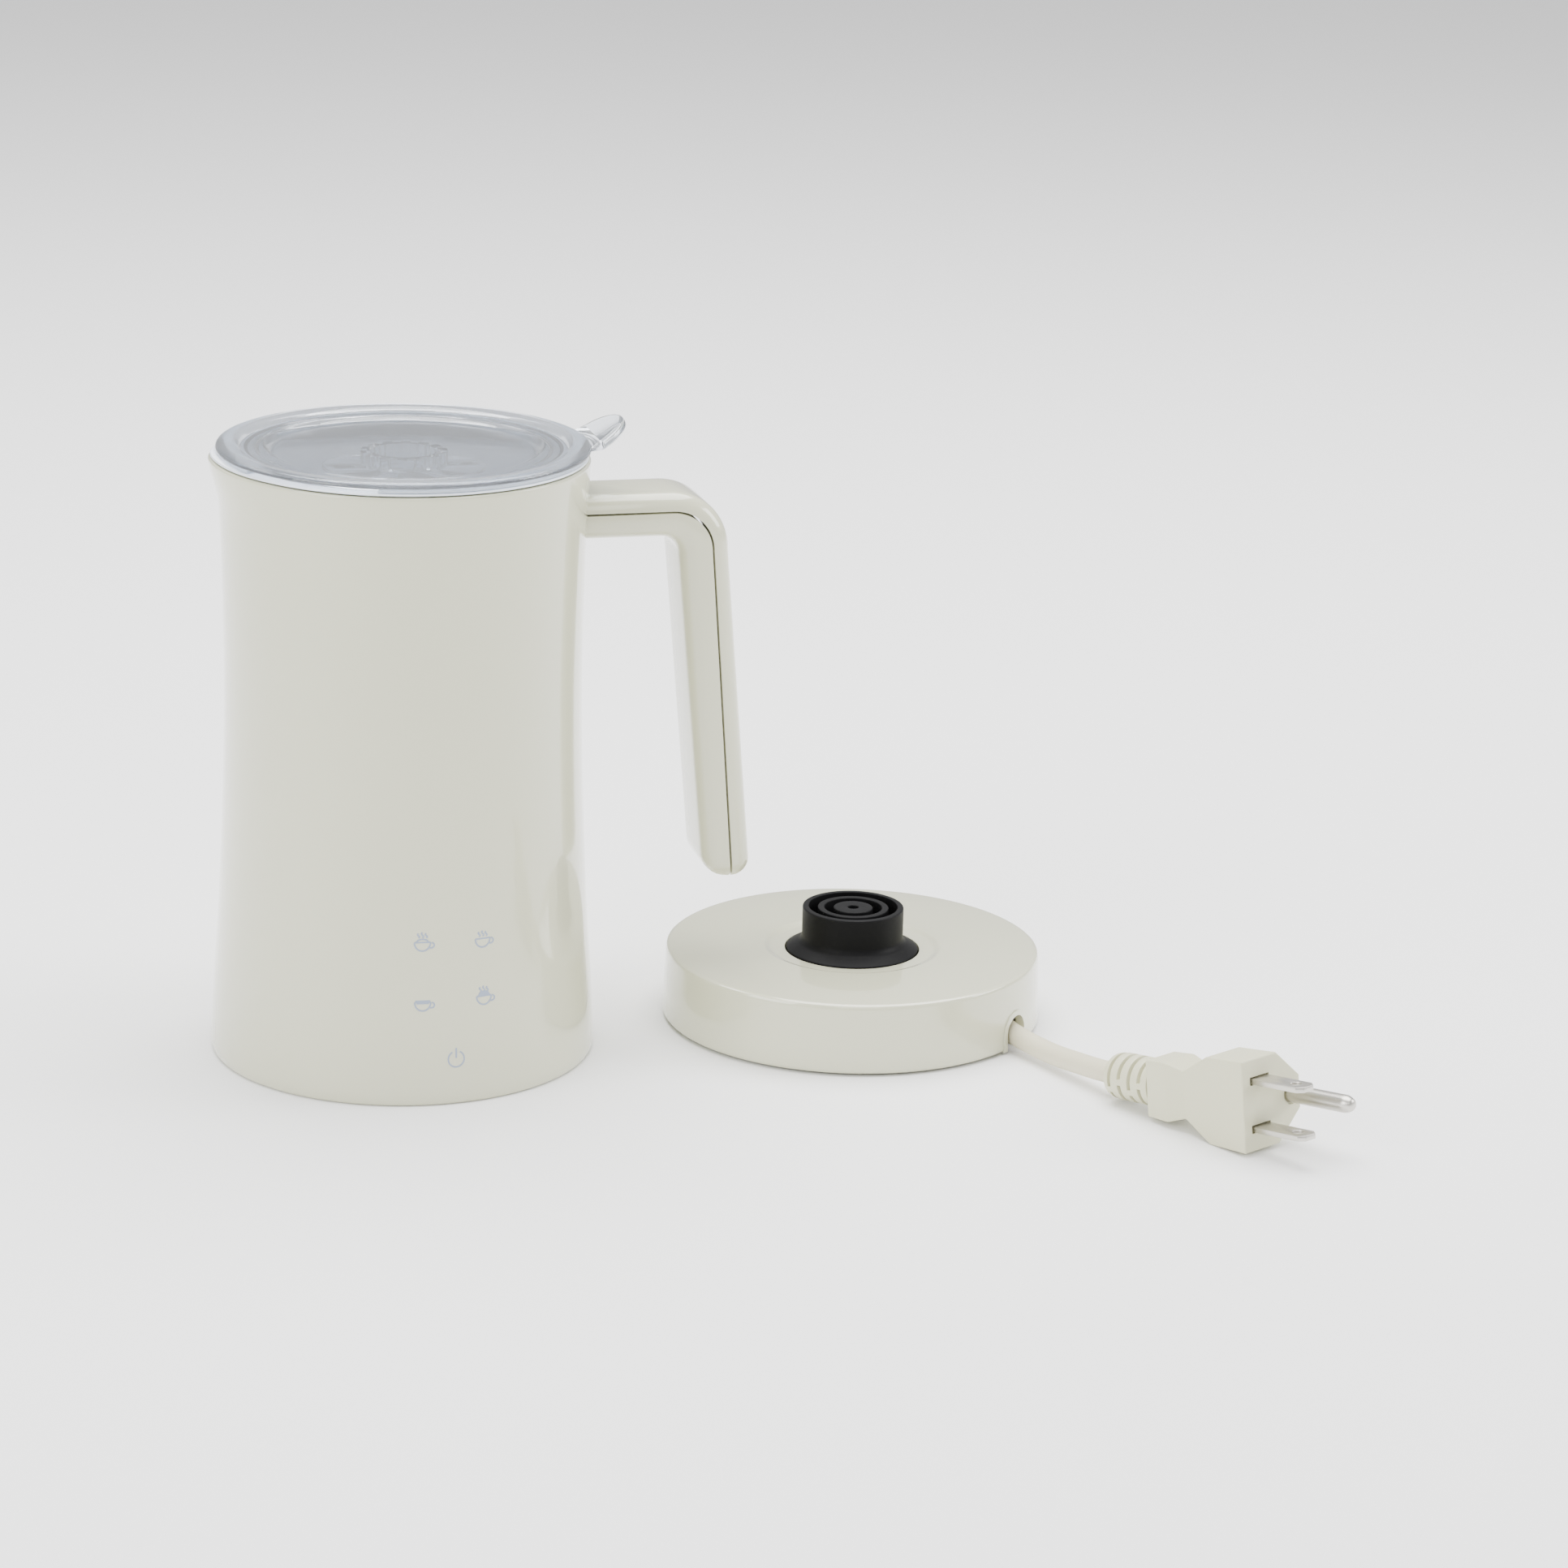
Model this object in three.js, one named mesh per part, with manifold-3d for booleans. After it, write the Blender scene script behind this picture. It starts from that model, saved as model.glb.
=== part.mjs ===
// Milk frother: a cordless heating jug standing beside its powered base.
// Millimetres, +Z up. The origin lies on the table, midway along the jug and base together.
// +X runs from the jug to the base, and the jug's handle points the same way.
import * as THREE from 'three';
import { mergeVertices } from 'three/addons/utils/BufferGeometryUtils.js';
import { ConvexGeometry } from 'three/addons/geometries/ConvexGeometry.js';
import Module from 'manifold-3d';

const wasm = await Module();
wasm.setup();

const deg = Math.PI / 180;
const round = 36;             // facets around a large turned piece
const medium = 24;            // facets around a ring inside one
const small = 12;             // facets around a screw, pin or foot
const gap = 0.3;              // between pieces that meet on a curved or turned face

// Driving dimensions of the two halves
const jug = { footR: 51.4, rimR: 48.8, rimZ: 161.7, wall: 2.3, frontAz: -84.5 };
const base = { footR: 52, topR: 51.3, bottomZ: 0.8, topZ: 19.9, wall: 2.2, spacing: 125.3 };
const baseX = (jug.footR + base.spacing - base.footR) / 2;
const jugX = baseX - base.spacing;
const spout = { reach: 2.2, rise: 0.7, fromZ: 147, halfAngle: 38 };
const liner = { rimR: 48.2, topR: 43.4, wallR: 42.6, wall: 1, floorZ: 50, cornerR: 9, rimZ: 162.7 };
const lid = { edgeR: 48.9, bottomZ: 163.95, crestZ: 165.8, crestR: 46.4, beadR: 42.2, annulusZ: 164.4,
  stepR: 36.3, plateR: 34.3, plateZ: 163.4, plateUnderZ: 161, hubR: 10.6, hubZ: 156.6, ribs: 20 };
const tab = { rootR: 46, reach: 57.8, rootHalf: 12.5, tipHalf: 10.5, thick: 2.8, underZ: 162.4,
  rootZ: 163.86, tilt: 31 };
const gasket = { outerR: 48.3, innerR: 41.2, topZ: 163.8, seatZ: 162.8, lipR: 42.4, lipZ: 157.5, spoutGap: 24 };
const handle = { half: 11.7, armTopZ: 151.5, armBottomZ: 139.6, seamZ: 147, gripTopX: 72, gripBottomX: 79.6,
  depth: 13.6, bottomZ: 44.6, cornerR: 15.7, innerR: 5, seamGap: 0.35, strip: 4.5, rootR: 48.9 };
const whisk = { boreR: 1.6, discR: 19.5, discZ: 53.2, thick: 1.4, coilR: 2.4, hubR: 5.4, hubTopZ: 65 };
const motor = { canR: 13.8, bottomZ: 17.8, topZ: 36, shaftR: 1.5, carrierR: 17, carrierZ: 40.6, magnets: 2 };
const tower = { r: 13.9, innerR: 12.2, topZ: 31.1, skirtR: 18.1, skirtZ: 21.5, ringR: [9.73, 7.88], postR: 5.4,
  holeR: 1.5, grooveZ: 19.6 };
const posts = { count: 3, r: 4, ring: 38, turn: 0, bottomZ: 5.5, plateZ: 36.4, plateTopZ: 38.2 };
const bottomCover = { r: 48.6, z: 3, topZ: 5.2, holeR: 17 };
const touchKeys = [[-9.5, 44], [9.5, 44], [-9.5, 28], [9.5, 28], [0, 12.5]];   // degrees from the front, height
const drum = { r: 18.4, innerR: 16.6, bottomZ: 1.6, ceilingZ: 13.6, topZ: 15.6, rimR: 48.7, rimInnerR: 46.9,
  screwR: 13.5, screwAngles: [30, 150, 270] };
const notch = { az: -45.7, half: 4.65, topZ: 9.7, lip: 1.4, lipRise: 0.45 };

// The mains lead: a flat coil wound under the base, then one free stretch to the plug
const cord = { r: 2.9, coilZ: 5.6, turns: 2.8, outerR: 41.3, pitch: 5.95, reliefRoom: 1.2, exitAz: -26.3 };
const relief = { length: 22, rootR: 4.5, tipR: 3.5, bossLength: 8 };
// centreline past the coil, from the base's axis: out through the notch and on to the plug
const leadPoints = [[36.9, -18.2, 5.6], [34.9, -24.3, 5.3], [34.5, -30.4, 4.9], [35.6, -36.5, 4.5],
  [37.6, -42.6, 4.2], [39.9, -49.1, 4.1], [42.3, -55.8, 4.3], [45.1, -63, 4.9], [48.2, -71, 5.7],
  [51.4, -78, 6.5]];
const head = { half: 12.15, near: -6.4, far: 15.1, cheek: 6.6, cheekHalf: 4.4, shoulder: -12.7,
  shoulderHalf: 11.65, waist: -21.6, waistHalf: 6.4, neck: -27.4, neckHalf: 8, rear: -34.6 };
const plug = { x: 74.96, y: -123.03, az: -62.35, pitch: 7.5 };
// the head leans back on the lower edge of its shoulder
const plugZ = head.shoulderHalf * Math.cos(plug.pitch * deg) - head.shoulder * Math.sin(plug.pitch * deg);
const boot = { rear: -51, r: 6.3, tipR: 5.9 };
const blade = { length: 16.9, width: 6.35, thick: 1.5, spacing: 12.7, holeR: 1.5, holeAt: 12.5 };
const earth = { r: 2.38, length: 21.25, offset: 11.86 };

const finish = (color, roughness, metalness = 0, opacity = 1) => ({ color, roughness, metalness, opacity });
const cream = finish(0xdedccf, 0.28);
const creamMatt = finish(0xd8d5c4, 0.5);
const black = finish(0x1b1b1d, 0.45);
const steel = finish(0xb9bcc0, 0.28, 1);
const brass = finish(0xc7a55a, 0.35, 1);
const nickel = finish(0xc9c6bd, 0.25, 1);
const aluminium = finish(0xc3c5c8, 0.4, 1);
const clear = finish(0xc9d0d8, 0.08, 0, 0.35);
const silicone = finish(0xb4bfc9, 0.5, 0, 0.7);
const greySeal = finish(0x6a6b68, 0.6);
const rubber = finish(0xcfccc0, 0.8);
const circuit = finish(0x2f6b45, 0.6);
const magnet = finish(0x8a8d92, 0.3, 1);

// Solid helpers -------------------------------------------------------------------------------

// A closed three.js geometry as a solid whose faces point outwards
function solidOf(geometry) {
  const bare = new THREE.BufferGeometry();
  bare.setAttribute('position', geometry.getAttribute('position'));
  if (geometry.index) bare.setIndex(geometry.index);
  const merged = mergeVertices(bare);
  const points = merged.getAttribute('position').array;
  const corners = merged.index.array;
  const faces = [];
  let volume = 0;
  for (let i = 0; i < corners.length; i += 3) {
    const [a, b, c] = [corners[i], corners[i + 1], corners[i + 2]];
    if (a === b || b === c || c === a) continue;
    const [p, q, r] = [a, b, c].map((k) => new THREE.Vector3().fromArray(points, 3 * k));
    volume += p.dot(q.cross(r));
    faces.push([a, b, c]);
  }
  const outward = volume > 0 ? faces : faces.map(([a, b, c]) => [a, c, b]);
  return new wasm.Manifold(new wasm.Mesh({
    numProp: 3, vertProperties: new Float32Array(points), triVerts: new Uint32Array(outward.flat()),
  }));
}

function geometryOf(solid) {
  const mesh = solid.getMesh();
  const geometry = new THREE.BufferGeometry();
  geometry.setAttribute('position', new THREE.BufferAttribute(new Float32Array(mesh.vertProperties), 3));
  geometry.setIndex(new THREE.BufferAttribute(new Uint32Array(mesh.triVerts), 1));
  geometry.computeVertexNormals();
  return geometry;
}

const cut = (solid, ...tools) => tools.reduce((left, tool) => left.subtract(tool), solid);
const join = (solid, ...others) => others.reduce((whole, other) => whole.add(other), solid);

// A profile of [radius, height] pairs turned about the vertical axis
function turned(profile, facets = round) {
  const points = profile.map(([r, z]) => new THREE.Vector2(r, z));
  const closed = profile[0][0] === 0 && profile.at(-1)[0] === 0 ? points : [...points, points[0].clone()];
  return new THREE.LatheGeometry(closed, facets).rotateX(Math.PI / 2);
}

const disc = (r, z0, z1, facets = small) => turned([[0, z0], [r, z0], [r, z1], [0, z1]], facets);
const ring = (r0, r1, z0, z1, facets = round) => turned([[r0, z0], [r1, z0], [r1, z1], [r0, z1]], facets);

function block(x0, x1, y0, y1, z0, z1) {
  return new THREE.BoxGeometry(x1 - x0, y1 - y0, z1 - z0)
    .translate((x0 + x1) / 2, (y0 + y1) / 2, (z0 + z1) / 2);
}

// An outline of [x, z] pairs given a thickness across Y, centred on y = 0
function plate(outline, thickness) {
  const shape = new THREE.Shape(outline.map(([x, z]) => new THREE.Vector2(x, z)));
  return new THREE.ExtrudeGeometry(shape, { depth: thickness, bevelEnabled: false })
    .translate(0, 0, -thickness / 2)
    .rotateX(Math.PI / 2);
}

// An outline of [x, y] pairs raised from z0 to z1
function raised(outline, z0, z1) {
  const shape = new THREE.Shape(outline.map(([x, y]) => new THREE.Vector2(x, y)));
  return new THREE.ExtrudeGeometry(shape, { depth: z1 - z0, bevelEnabled: false }).translate(0, 0, z0);
}

// Points on an arc about [cx, cy], angles in degrees
function arc(cx, cy, r, from, to, steps) {
  return Array.from({ length: steps + 1 }, (_, i) => {
    const a = (from + ((to - from) * i) / steps) * deg;
    return [cx + r * Math.cos(a), cy + r * Math.sin(a)];
  });
}

function tube(points, r, sides, steps) {
  const section = new THREE.Shape(arc(0, 0, r, 0, 360 - 360 / sides, sides - 1)
    .map(([x, y]) => new THREE.Vector2(x, y)));
  const path = new THREE.CatmullRomCurve3(points.map((p) => new THREE.Vector3(...p)));
  return new THREE.ExtrudeGeometry(section, { extrudePath: path, steps, bevelEnabled: false });
}

// A profile of [along, r] pairs turned about the X axis
const spun = (profile, facets = small) => turned(profile.map(([x, r]) => [r, x]), facets).rotateY(Math.PI / 2);

const smooth = (t) => THREE.MathUtils.smoothstep(t, 0, 1);

function piece(name, shape, look) {
  const geometry = shape.isBufferGeometry ? geometryOf(solidOf(shape)) : geometryOf(shape);
  const material = new THREE.MeshStandardMaterial({ ...look, transparent: look.opacity < 1 });
  const mesh = new THREE.Mesh(geometry, material);
  mesh.name = name;
  return mesh;
}

// Jug ---------------------------------------------------------------------------------------------

// The waisted outer wall, from the foot to the rim
const wallCurve = new THREE.SplineCurve([[51.4, 2.4], [50.5, 20], [48.9, 45], [47.5, 80], [47.15, 108],
  [47.7, 138], [48.8, jug.rimZ]].map(([r, z]) => new THREE.Vector2(r, z)));
const wallPoints = wallCurve.getPoints(9).map((p) => [p.x, p.y]);

// Pushes the rim out into the pouring lip on the side away from the handle
function pullSpout(geometry) {
  const at = geometry.getAttribute('position');
  for (let i = 0; i < at.count; i++) {
    const [x, y, z] = [at.getX(i), at.getY(i), at.getZ(i)];
    const away = Math.abs(Math.atan2(y, -x)) / (spout.halfAngle * deg);
    if (z < spout.fromZ || away > 1) continue;
    const lift = smooth((z - spout.fromZ) / (jug.rimZ - spout.fromZ)) ** 1.5;
    const pull = lift * (0.5 + 0.5 * Math.cos(Math.PI * away));
    const grow = 1 + (spout.reach * pull) / Math.hypot(x, y);
    at.setXYZ(i, x * grow, y * grow, z + spout.rise * pull ** 2);
  }
  return geometry;
}

const postAngles = Array.from({ length: posts.count }, (_, i) => posts.turn + (360 / posts.count) * i);
const around = (geometry, angle, r) => geometry.translate(r, 0, 0).rotateZ(angle * deg);

function outerShell() {
  const inner = wallPoints.map(([r, z]) => [r - jug.wall, z]).reverse();
  const foot = [[jug.footR - jug.wall, 0.6], [jug.footR - 1.9, 0], [jug.footR - 1.2, 0],
    [jug.footR - 0.4, 0.6]];
  const boltHoles = [-5, 5].map((y) => solidOf(disc(1.75, 40, 60).rotateY(Math.PI / 2)
    .translate(0, y, (handle.seamZ + handle.armBottomZ) / 2)));
  return piece('outer_shell', cut(solidOf(pullSpout(turned([...foot, ...wallPoints, ...inner]))), ...boltHoles),
    cream);
}

// Steel milk vessel with a rounded floor corner and a flat rolled rim
function innerLiner() {
  const { rimR, topR, wallR, wall, floorZ, cornerR, rimZ } = liner;
  const inside = arc(wallR - cornerR, floorZ + cornerR, cornerR, 270, 360, 4);
  const outside = arc(wallR - cornerR, floorZ + cornerR, cornerR + wall, 360, 270, 4);
  const profile = [[0, floorZ], ...inside, [wallR, spout.fromZ], [wallR, 156], [topR, rimZ - 1.8],
    [topR + 1, rimZ], [rimR, rimZ], [rimR, rimZ - 0.7], [topR + 1.6, rimZ - 0.7],
    [topR + wall, rimZ - 2.2], [wallR + wall, 155.5], [wallR + wall, spout.fromZ], ...outside,
    [0, floorZ - wall]];
  return piece('inner_liner', pullSpout(turned(profile)), steel);
}

function linerParts() {
  const { wallR, wall, floorZ } = liner;
  const sealInner = wallR + wall + gap;
  const under = floorZ - wall;
  const boss = [[0, floorZ + 0.05], [3.4, floorZ + 0.05], [2.6, floorZ + 1], [1.5, floorZ + 1.3],
    [1.5, 62], [1, 63], [0, 63]];
  return [
    piece('liner_seal', ring(sealInner, sealInner + 1, 131, 134), greySeal),
    piece('whisk_spindle', turned(boss, small), steel),
    piece('heater_plate', ring(21, 33.4, under - 3.2, under - 0.1, medium), aluminium),
    piece('heater_ring', turned(arc(27.5, under - 6.6, 3.2, 0, 300, 5), medium), steel),
    piece('temperature_sensor', disc(1.6, under - 6, under - 0.1).translate(-19, 0, 0), black),
  ];
}

function motorParts() {
  const { canR, bottomZ, topZ, shaftR } = motor;
  const bore = solidOf(disc(shaftR + 0.1, 26, topZ + 1));
  const can = turned([[0, bottomZ], [6, bottomZ], [canR - 1.5, bottomZ], [canR, bottomZ + 1.5],
    [canR, topZ - 1], [canR - 1, topZ], [0, topZ]], medium);
  const legs = postAngles.map((a) => solidOf(around(disc(posts.r, posts.bottomZ, posts.plateZ + 0.5), a,
    posts.ring)));
  const screwBores = postAngles.map((a) => solidOf(around(disc(1.7, 0, 16), a, posts.ring)));
  const frame = cut(join(solidOf(ring(6, 42, posts.plateZ, posts.plateTopZ, medium)), ...legs), ...screwBores);
  return [
    piece('motor_can', cut(solidOf(can), bore), steel),
    piece('inner_frame', frame, creamMatt),
  ];
}

// The motor's spinning half: shaft, carrier and the magnets that drag the whisk round
function rotorParts() {
  const { shaftR, carrierR, carrierZ, magnets } = motor;
  const [pocketR, ringR, thick] = [3.9, 11.5, 4.6];
  const angles = Array.from({ length: magnets }, (_, i) => 90 + (360 / magnets) * i);
  const pockets = angles.map((a) => solidOf(around(disc(pocketR, carrierZ + 1.4, carrierZ + 9), a, ringR)));
  const hole = solidOf(disc(shaftR + 0.1, 30, carrierZ + 9));
  const parts = [
    piece('motor_shaft', disc(shaftR, 27, carrierZ + thick), steel),
    piece('magnet_carrier', cut(solidOf(disc(carrierR, carrierZ, carrierZ + thick, medium)), hole, ...pockets), black),
  ];
  angles.forEach((a, i) => parts.push(piece(`drive_magnet_${i + 1}`,
    around(disc(pocketR - 0.2, carrierZ + 1.5, carrierZ + thick), a, ringR), magnet)));
  return parts;
}

function controlParts() {
  const turn = (geometry) => geometry.rotateZ(jug.frontAz * deg);
  const boardX = 42;
  const parts = [
    piece('control_board', ring(17.5, 32, 13.4, 15, medium), circuit),
    piece('relay', block(20, 30, -8, 8, 15.1, 28).rotateZ(60 * deg), black),
    piece('capacitor', disc(5, 15.1, 29).translate(24.5, 0, 0).rotateZ(180 * deg), steel),
    piece('touch_board', turn(block(boardX, boardX + 1.6, -13, 13, 6, 49)), circuit),
  ];
  touchKeys.forEach(([az, z], i) => {
    const y = (boardX + 1.6) * Math.tan(az * deg);
    const pad = disc(4.2, boardX + 1.7, boardX + 3.1).rotateY(Math.PI / 2).translate(0, y, z);
    parts.push(piece(`touch_pad_${i + 1}`, turn(pad), rubber));
  });
  return parts;
}

// Underside: cover, socket that drops over the base's tower, and its screws
function undersideParts() {
  const { r, z, topZ, holeR } = bottomCover;
  const screwHoles = postAngles.map((a) => solidOf(around(disc(1.8, 0, 9), a, posts.ring)));
  const [wallIn, wallOut] = [tower.r + 0.7, tower.r + 2.6];
  const ceiling = 12.2;
  const mouth = 5;
  const rings = [[10.3, 11.6], [6.1, 7.3]].flatMap(([r0, r1]) => [[r1, ceiling], [r1, mouth], [r0, mouth],
    [r0, ceiling]]);
  const socket = [[0, ceiling + 1.6], [wallOut, ceiling + 1.6], [wallOut, topZ + 1.9], [19.5, topZ + 1.9],
    [19.5, topZ + 0.3], [wallOut, topZ + 0.3], [wallOut, mouth], [wallIn, mouth], [wallIn, ceiling], ...rings,
    [0, ceiling]];
  const parts = [
    piece('bottom_cover', cut(solidOf(ring(holeR, r, z, topZ)), ...screwHoles), creamMatt),
    piece('jug_socket', turned(socket, medium), black),
    piece('socket_pin', disc(1, mouth + 0.6, ceiling - 0.1), brass),
  ];
  postAngles.forEach((a, i) => {
    const screw = turned([[0, 1.2], [2.9, 1.2], [2.9, z - 0.1], [1.4, z - 0.1], [1.4, 14], [0, 14.6]], small);
    parts.push(piece(`cover_screw_${i + 1}`, around(screw, a, posts.ring), steel));
  });
  return parts;
}

// The grip and arm as an L seen from the side: [x, z] pairs, inset from its outer face by `depth`
function handleOuterLine(depth) {
  const { armTopZ, cornerR, gripTopX, gripBottomX, bottomZ } = handle;
  const outerX = gripTopX + handle.depth - depth;
  const topZ = armTopZ - depth;
  const bend = arc(outerX - (cornerR - depth), topZ - (cornerR - depth), cornerR - depth, 90, 5, 5);
  return [[handle.rootR - 12, topZ], ...bend, [gripBottomX + handle.depth - depth - 0.3, bottomZ + 0.6]];
}

function handleParts() {
  const { half, armBottomZ, gripTopX, gripBottomX, bottomZ, innerR, strip, seamGap, rootR } = handle;
  const outer = handleOuterLine(0);
  const seamTop = handleOuterLine(strip).reverse();
  const seamUnder = handleOuterLine(strip + seamGap);
  const innerLine = [[gripBottomX + 6, bottomZ], [gripBottomX + 1.5, bottomZ + 1], [gripBottomX, bottomZ + 4],
    ...arc(gripTopX - innerR, armBottomZ - innerR, innerR, 0, 90, 3), [rootR - 12, armBottomZ]];
  const jugCut = solidOf(disc(rootR, 30, 170, round));
  const boltZ = (handle.seamZ + armBottomZ) / 2;
  const bores = [-5, 5].map((y) => solidOf(disc(1.75, rootR - 5, 62).rotateY(Math.PI / 2)
    .translate(0, y, boltZ)));
  const body = cut(solidOf(plate([...seamUnder, ...innerLine], 2 * half)), jugCut, ...bores);
  const cap = cut(solidOf(plate([...outer, ...seamTop], 2 * half)), jugCut);
  const bolt = turned([[0, 43.9], [2.6, 43.9], [2.6, 44.5], [1.5, 44.5], [1.5, 60], [0, 60.6]], small);
  return [
    piece('handle_body', body, cream),
    piece('handle_strip', cap, cream),
    ...[-5, 5].map((y, i) => piece(`handle_bolt_${i + 1}`,
      bolt.clone().rotateY(Math.PI / 2).translate(0, y, boltZ), steel)),
  ];
}

// Clear lid: bead, annulus, sunk plate, ribbed hub under it and the finger tab
function lidPanel() {
  const { edgeR, bottomZ, crestZ, crestR, beadR, annulusZ, stepR, plateR, plateZ, plateUnderZ } = lid;
  const { hubR, hubZ } = lid;
  const panel = turned([[0, plateZ], [plateR, plateZ], [stepR, annulusZ], [beadR, annulusZ],
    [crestR - 2.4, crestZ - 0.5], [crestR, crestZ], [edgeR - 0.7, crestZ - 0.6], [edgeR, crestZ - 1.4],
    [edgeR, bottomZ], [gasket.innerR, bottomZ - 0.4], [gasket.innerR - 0.5, plateUnderZ], [0, plateUnderZ]]);
  const hub = turned([[0, hubZ], [3, hubZ], [3, hubZ + 2], [hubR - 1.6, hubZ + 2], [hubR - 1.6, hubZ],
    [hubR, hubZ], [hubR, plateUnderZ + 0.5], [0, plateUnderZ + 0.5]], 2 * lid.ribs);
  const { rootR, reach, rootHalf, tipHalf, thick, underZ, rootZ, tilt } = tab;
  const length = (reach - rootR) / Math.cos(tilt * deg);
  const outline = [[0, -rootHalf], ...arc(length - tipHalf, 0, tipHalf, -70, 70, 6), [0, rootHalf]];
  const finger = raised(outline, -thick, 0).rotateY(-tilt * deg).translate(rootR, 0, rootZ);
  const inside = solidOf(disc(gasket.outerR + 0.15, 140, 180, round));
  const below = solidOf(disc(reach, 140, underZ, round));
  return piece('lid_panel', join(solidOf(panel), solidOf(hub), cut(solidOf(finger), inside, below)), clear);
}

// Soft ring under the lid's edge, open at the spout so that milk can pour
function lidGasket() {
  const { outerR, innerR, topZ, seatZ, lipR, lipZ, spoutGap } = gasket;
  const profile = [[innerR, lipZ], [lipR, lipZ + 0.8], [lipR, seatZ + 0.05], [outerR, seatZ + 0.05],
    [outerR, topZ - 0.3], [innerR + 0.2, topZ - 0.5]];
  const far = 70;
  const wedge = raised([[0, 0], [-far, -far * Math.tan(spoutGap * deg)], [-far, far * Math.tan(spoutGap * deg)]],
    150, 170);
  return piece('lid_gasket', cut(solidOf(turned(profile)), solidOf(wedge)), silicone);
}

// Stirring disc kept on the hub under the lid
function spareWhisk() {
  const top = lid.hubZ - 0.1;
  const profile = [[0, top - 3.4], [5, top - 3.4], [5.4, top - 1.6], [22, top - 1.6], [22, top], [0, top]];
  const slots = Array.from({ length: 6 }, (_, i) => solidOf(around(block(-5, 5, -2, 2, 140, 170), 60 * i, 14)));
  return piece('spare_whisk', cut(solidOf(turned(profile, medium)), ...slots), clear);
}

// Frothing whisk: hub on the spindle, carrier disc and the spring wound round its edge
function whiskParts() {
  const { boreR, discR, discZ, thick, coilR, hubR, hubTopZ } = whisk;
  const springR = discR - coilR - 0.2;
  const body = turned([[boreR, discZ - 1.6], [hubR, discZ - 1.6], [springR - coilR, discZ],
    [springR - coilR, discZ + thick], [hubR, discZ + thick + 1], [hubR - 1, hubTopZ], [0, hubTopZ],
    [0, 63.4], [boreR, 63.4]], medium);
  return [
    piece('whisk_body', body, black),
    piece('whisk_spring', turned(arc(springR + gap, discZ + thick / 2, coilR, 0, 300, 5), medium), steel),
  ];
}

// Base --------------------------------------------------------------------------------------------

// The U-shaped gap in the base's edge, seen along the lead, grown by `extra`
function notchTool(extra, x0, x1) {
  const half = notch.half + extra;
  const top = notch.topZ + extra;
  const outline = [[half, -2], ...arc(0, top - half, half, 0, 180, 8), [-half, -2]];
  return raised(outline, x0, x1).rotateX(Math.PI / 2).rotateZ(Math.PI / 2).rotateZ(notch.az * deg);
}

function baseCover() {
  const { footR, topR, bottomZ, topZ, wall } = base;
  const dish = 0.8;
  const edge = arc(topR - 1.5, topZ - 1.5, 1.5, 0, 90, 3);
  const profile = [[footR - wall, bottomZ], [footR - 0.5, bottomZ], [footR, bottomZ + 0.7], ...edge, [24, topZ],
    [22.4, topZ - dish], [tower.skirtR + 0.3, topZ - dish], [tower.skirtR + 0.3, topZ - dish - 1.8],
    [24, topZ - dish - 1.8], [26, topZ - wall], [topR - wall, topZ - wall]];
  const lip = solidOf(notchTool(notch.lip, footR - wall, footR + notch.lipRise));
  const floor = solidOf(block(-80, 80, -80, 80, -20, bottomZ));
  const opening = solidOf(notchTool(0, 30, 60));
  return piece('base_cover', cut(join(solidOf(turned(profile)), lip), floor, opening), cream);
}

const coilInnerR = cord.outerR - cord.pitch * cord.turns - cord.reliefRoom;
const coilStartAz = cord.exitAz + 360 * cord.turns;

// Centreline of the wound lead after `t` turns, from the base's axis
function coilPoint(t) {
  const r = coilInnerR + cord.pitch * t + cord.reliefRoom * smooth((t - 0.15) / 0.85);
  const a = (coilStartAz - 360 * t) * deg;
  return [r * Math.cos(a), r * Math.sin(a), cord.coilZ];
}

const reliefTurns = relief.length / (2 * Math.PI * coilInnerR);
const bossBox = () => block(drum.r - 1.5, coilInnerR + 3.9, gap, relief.bossLength, 3, drum.ceilingZ + 0.5)
  .rotateZ(coilStartAz * deg);

// Bottom plate: drum for the contacts, ceiling over the lead store, rim wall and foot pads
function basePlate() {
  const { r, innerR, bottomZ, ceilingZ, topZ, rimR, rimInnerR, screwR, screwAngles } = drum;
  const profile = [[0, bottomZ], [r, bottomZ], [r, ceilingZ], [rimInnerR, ceilingZ], [rimInnerR, 1.4], [rimR, 1.4],
    [rimR, topZ], [innerR, topZ], [innerR, bottomZ + 2], [0, bottomZ + 2]];
  const pads = [0, 90, 180, 270].map((a) => solidOf(block(38.5, rimInnerR + 0.6, -6, 6, 1.4, 2.4)
    .rotateZ(a * deg)));
  const screwHoles = screwAngles.map((a) => solidOf(around(disc(1.7, 0, 5), a, screwR)));
  const opening = solidOf(notchTool(2.6, 30, 60));
  return piece('base_plate', cut(join(solidOf(turned(profile)), ...pads, solidOf(bossBox())), opening,
    ...screwHoles), creamMatt);
}

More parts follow.
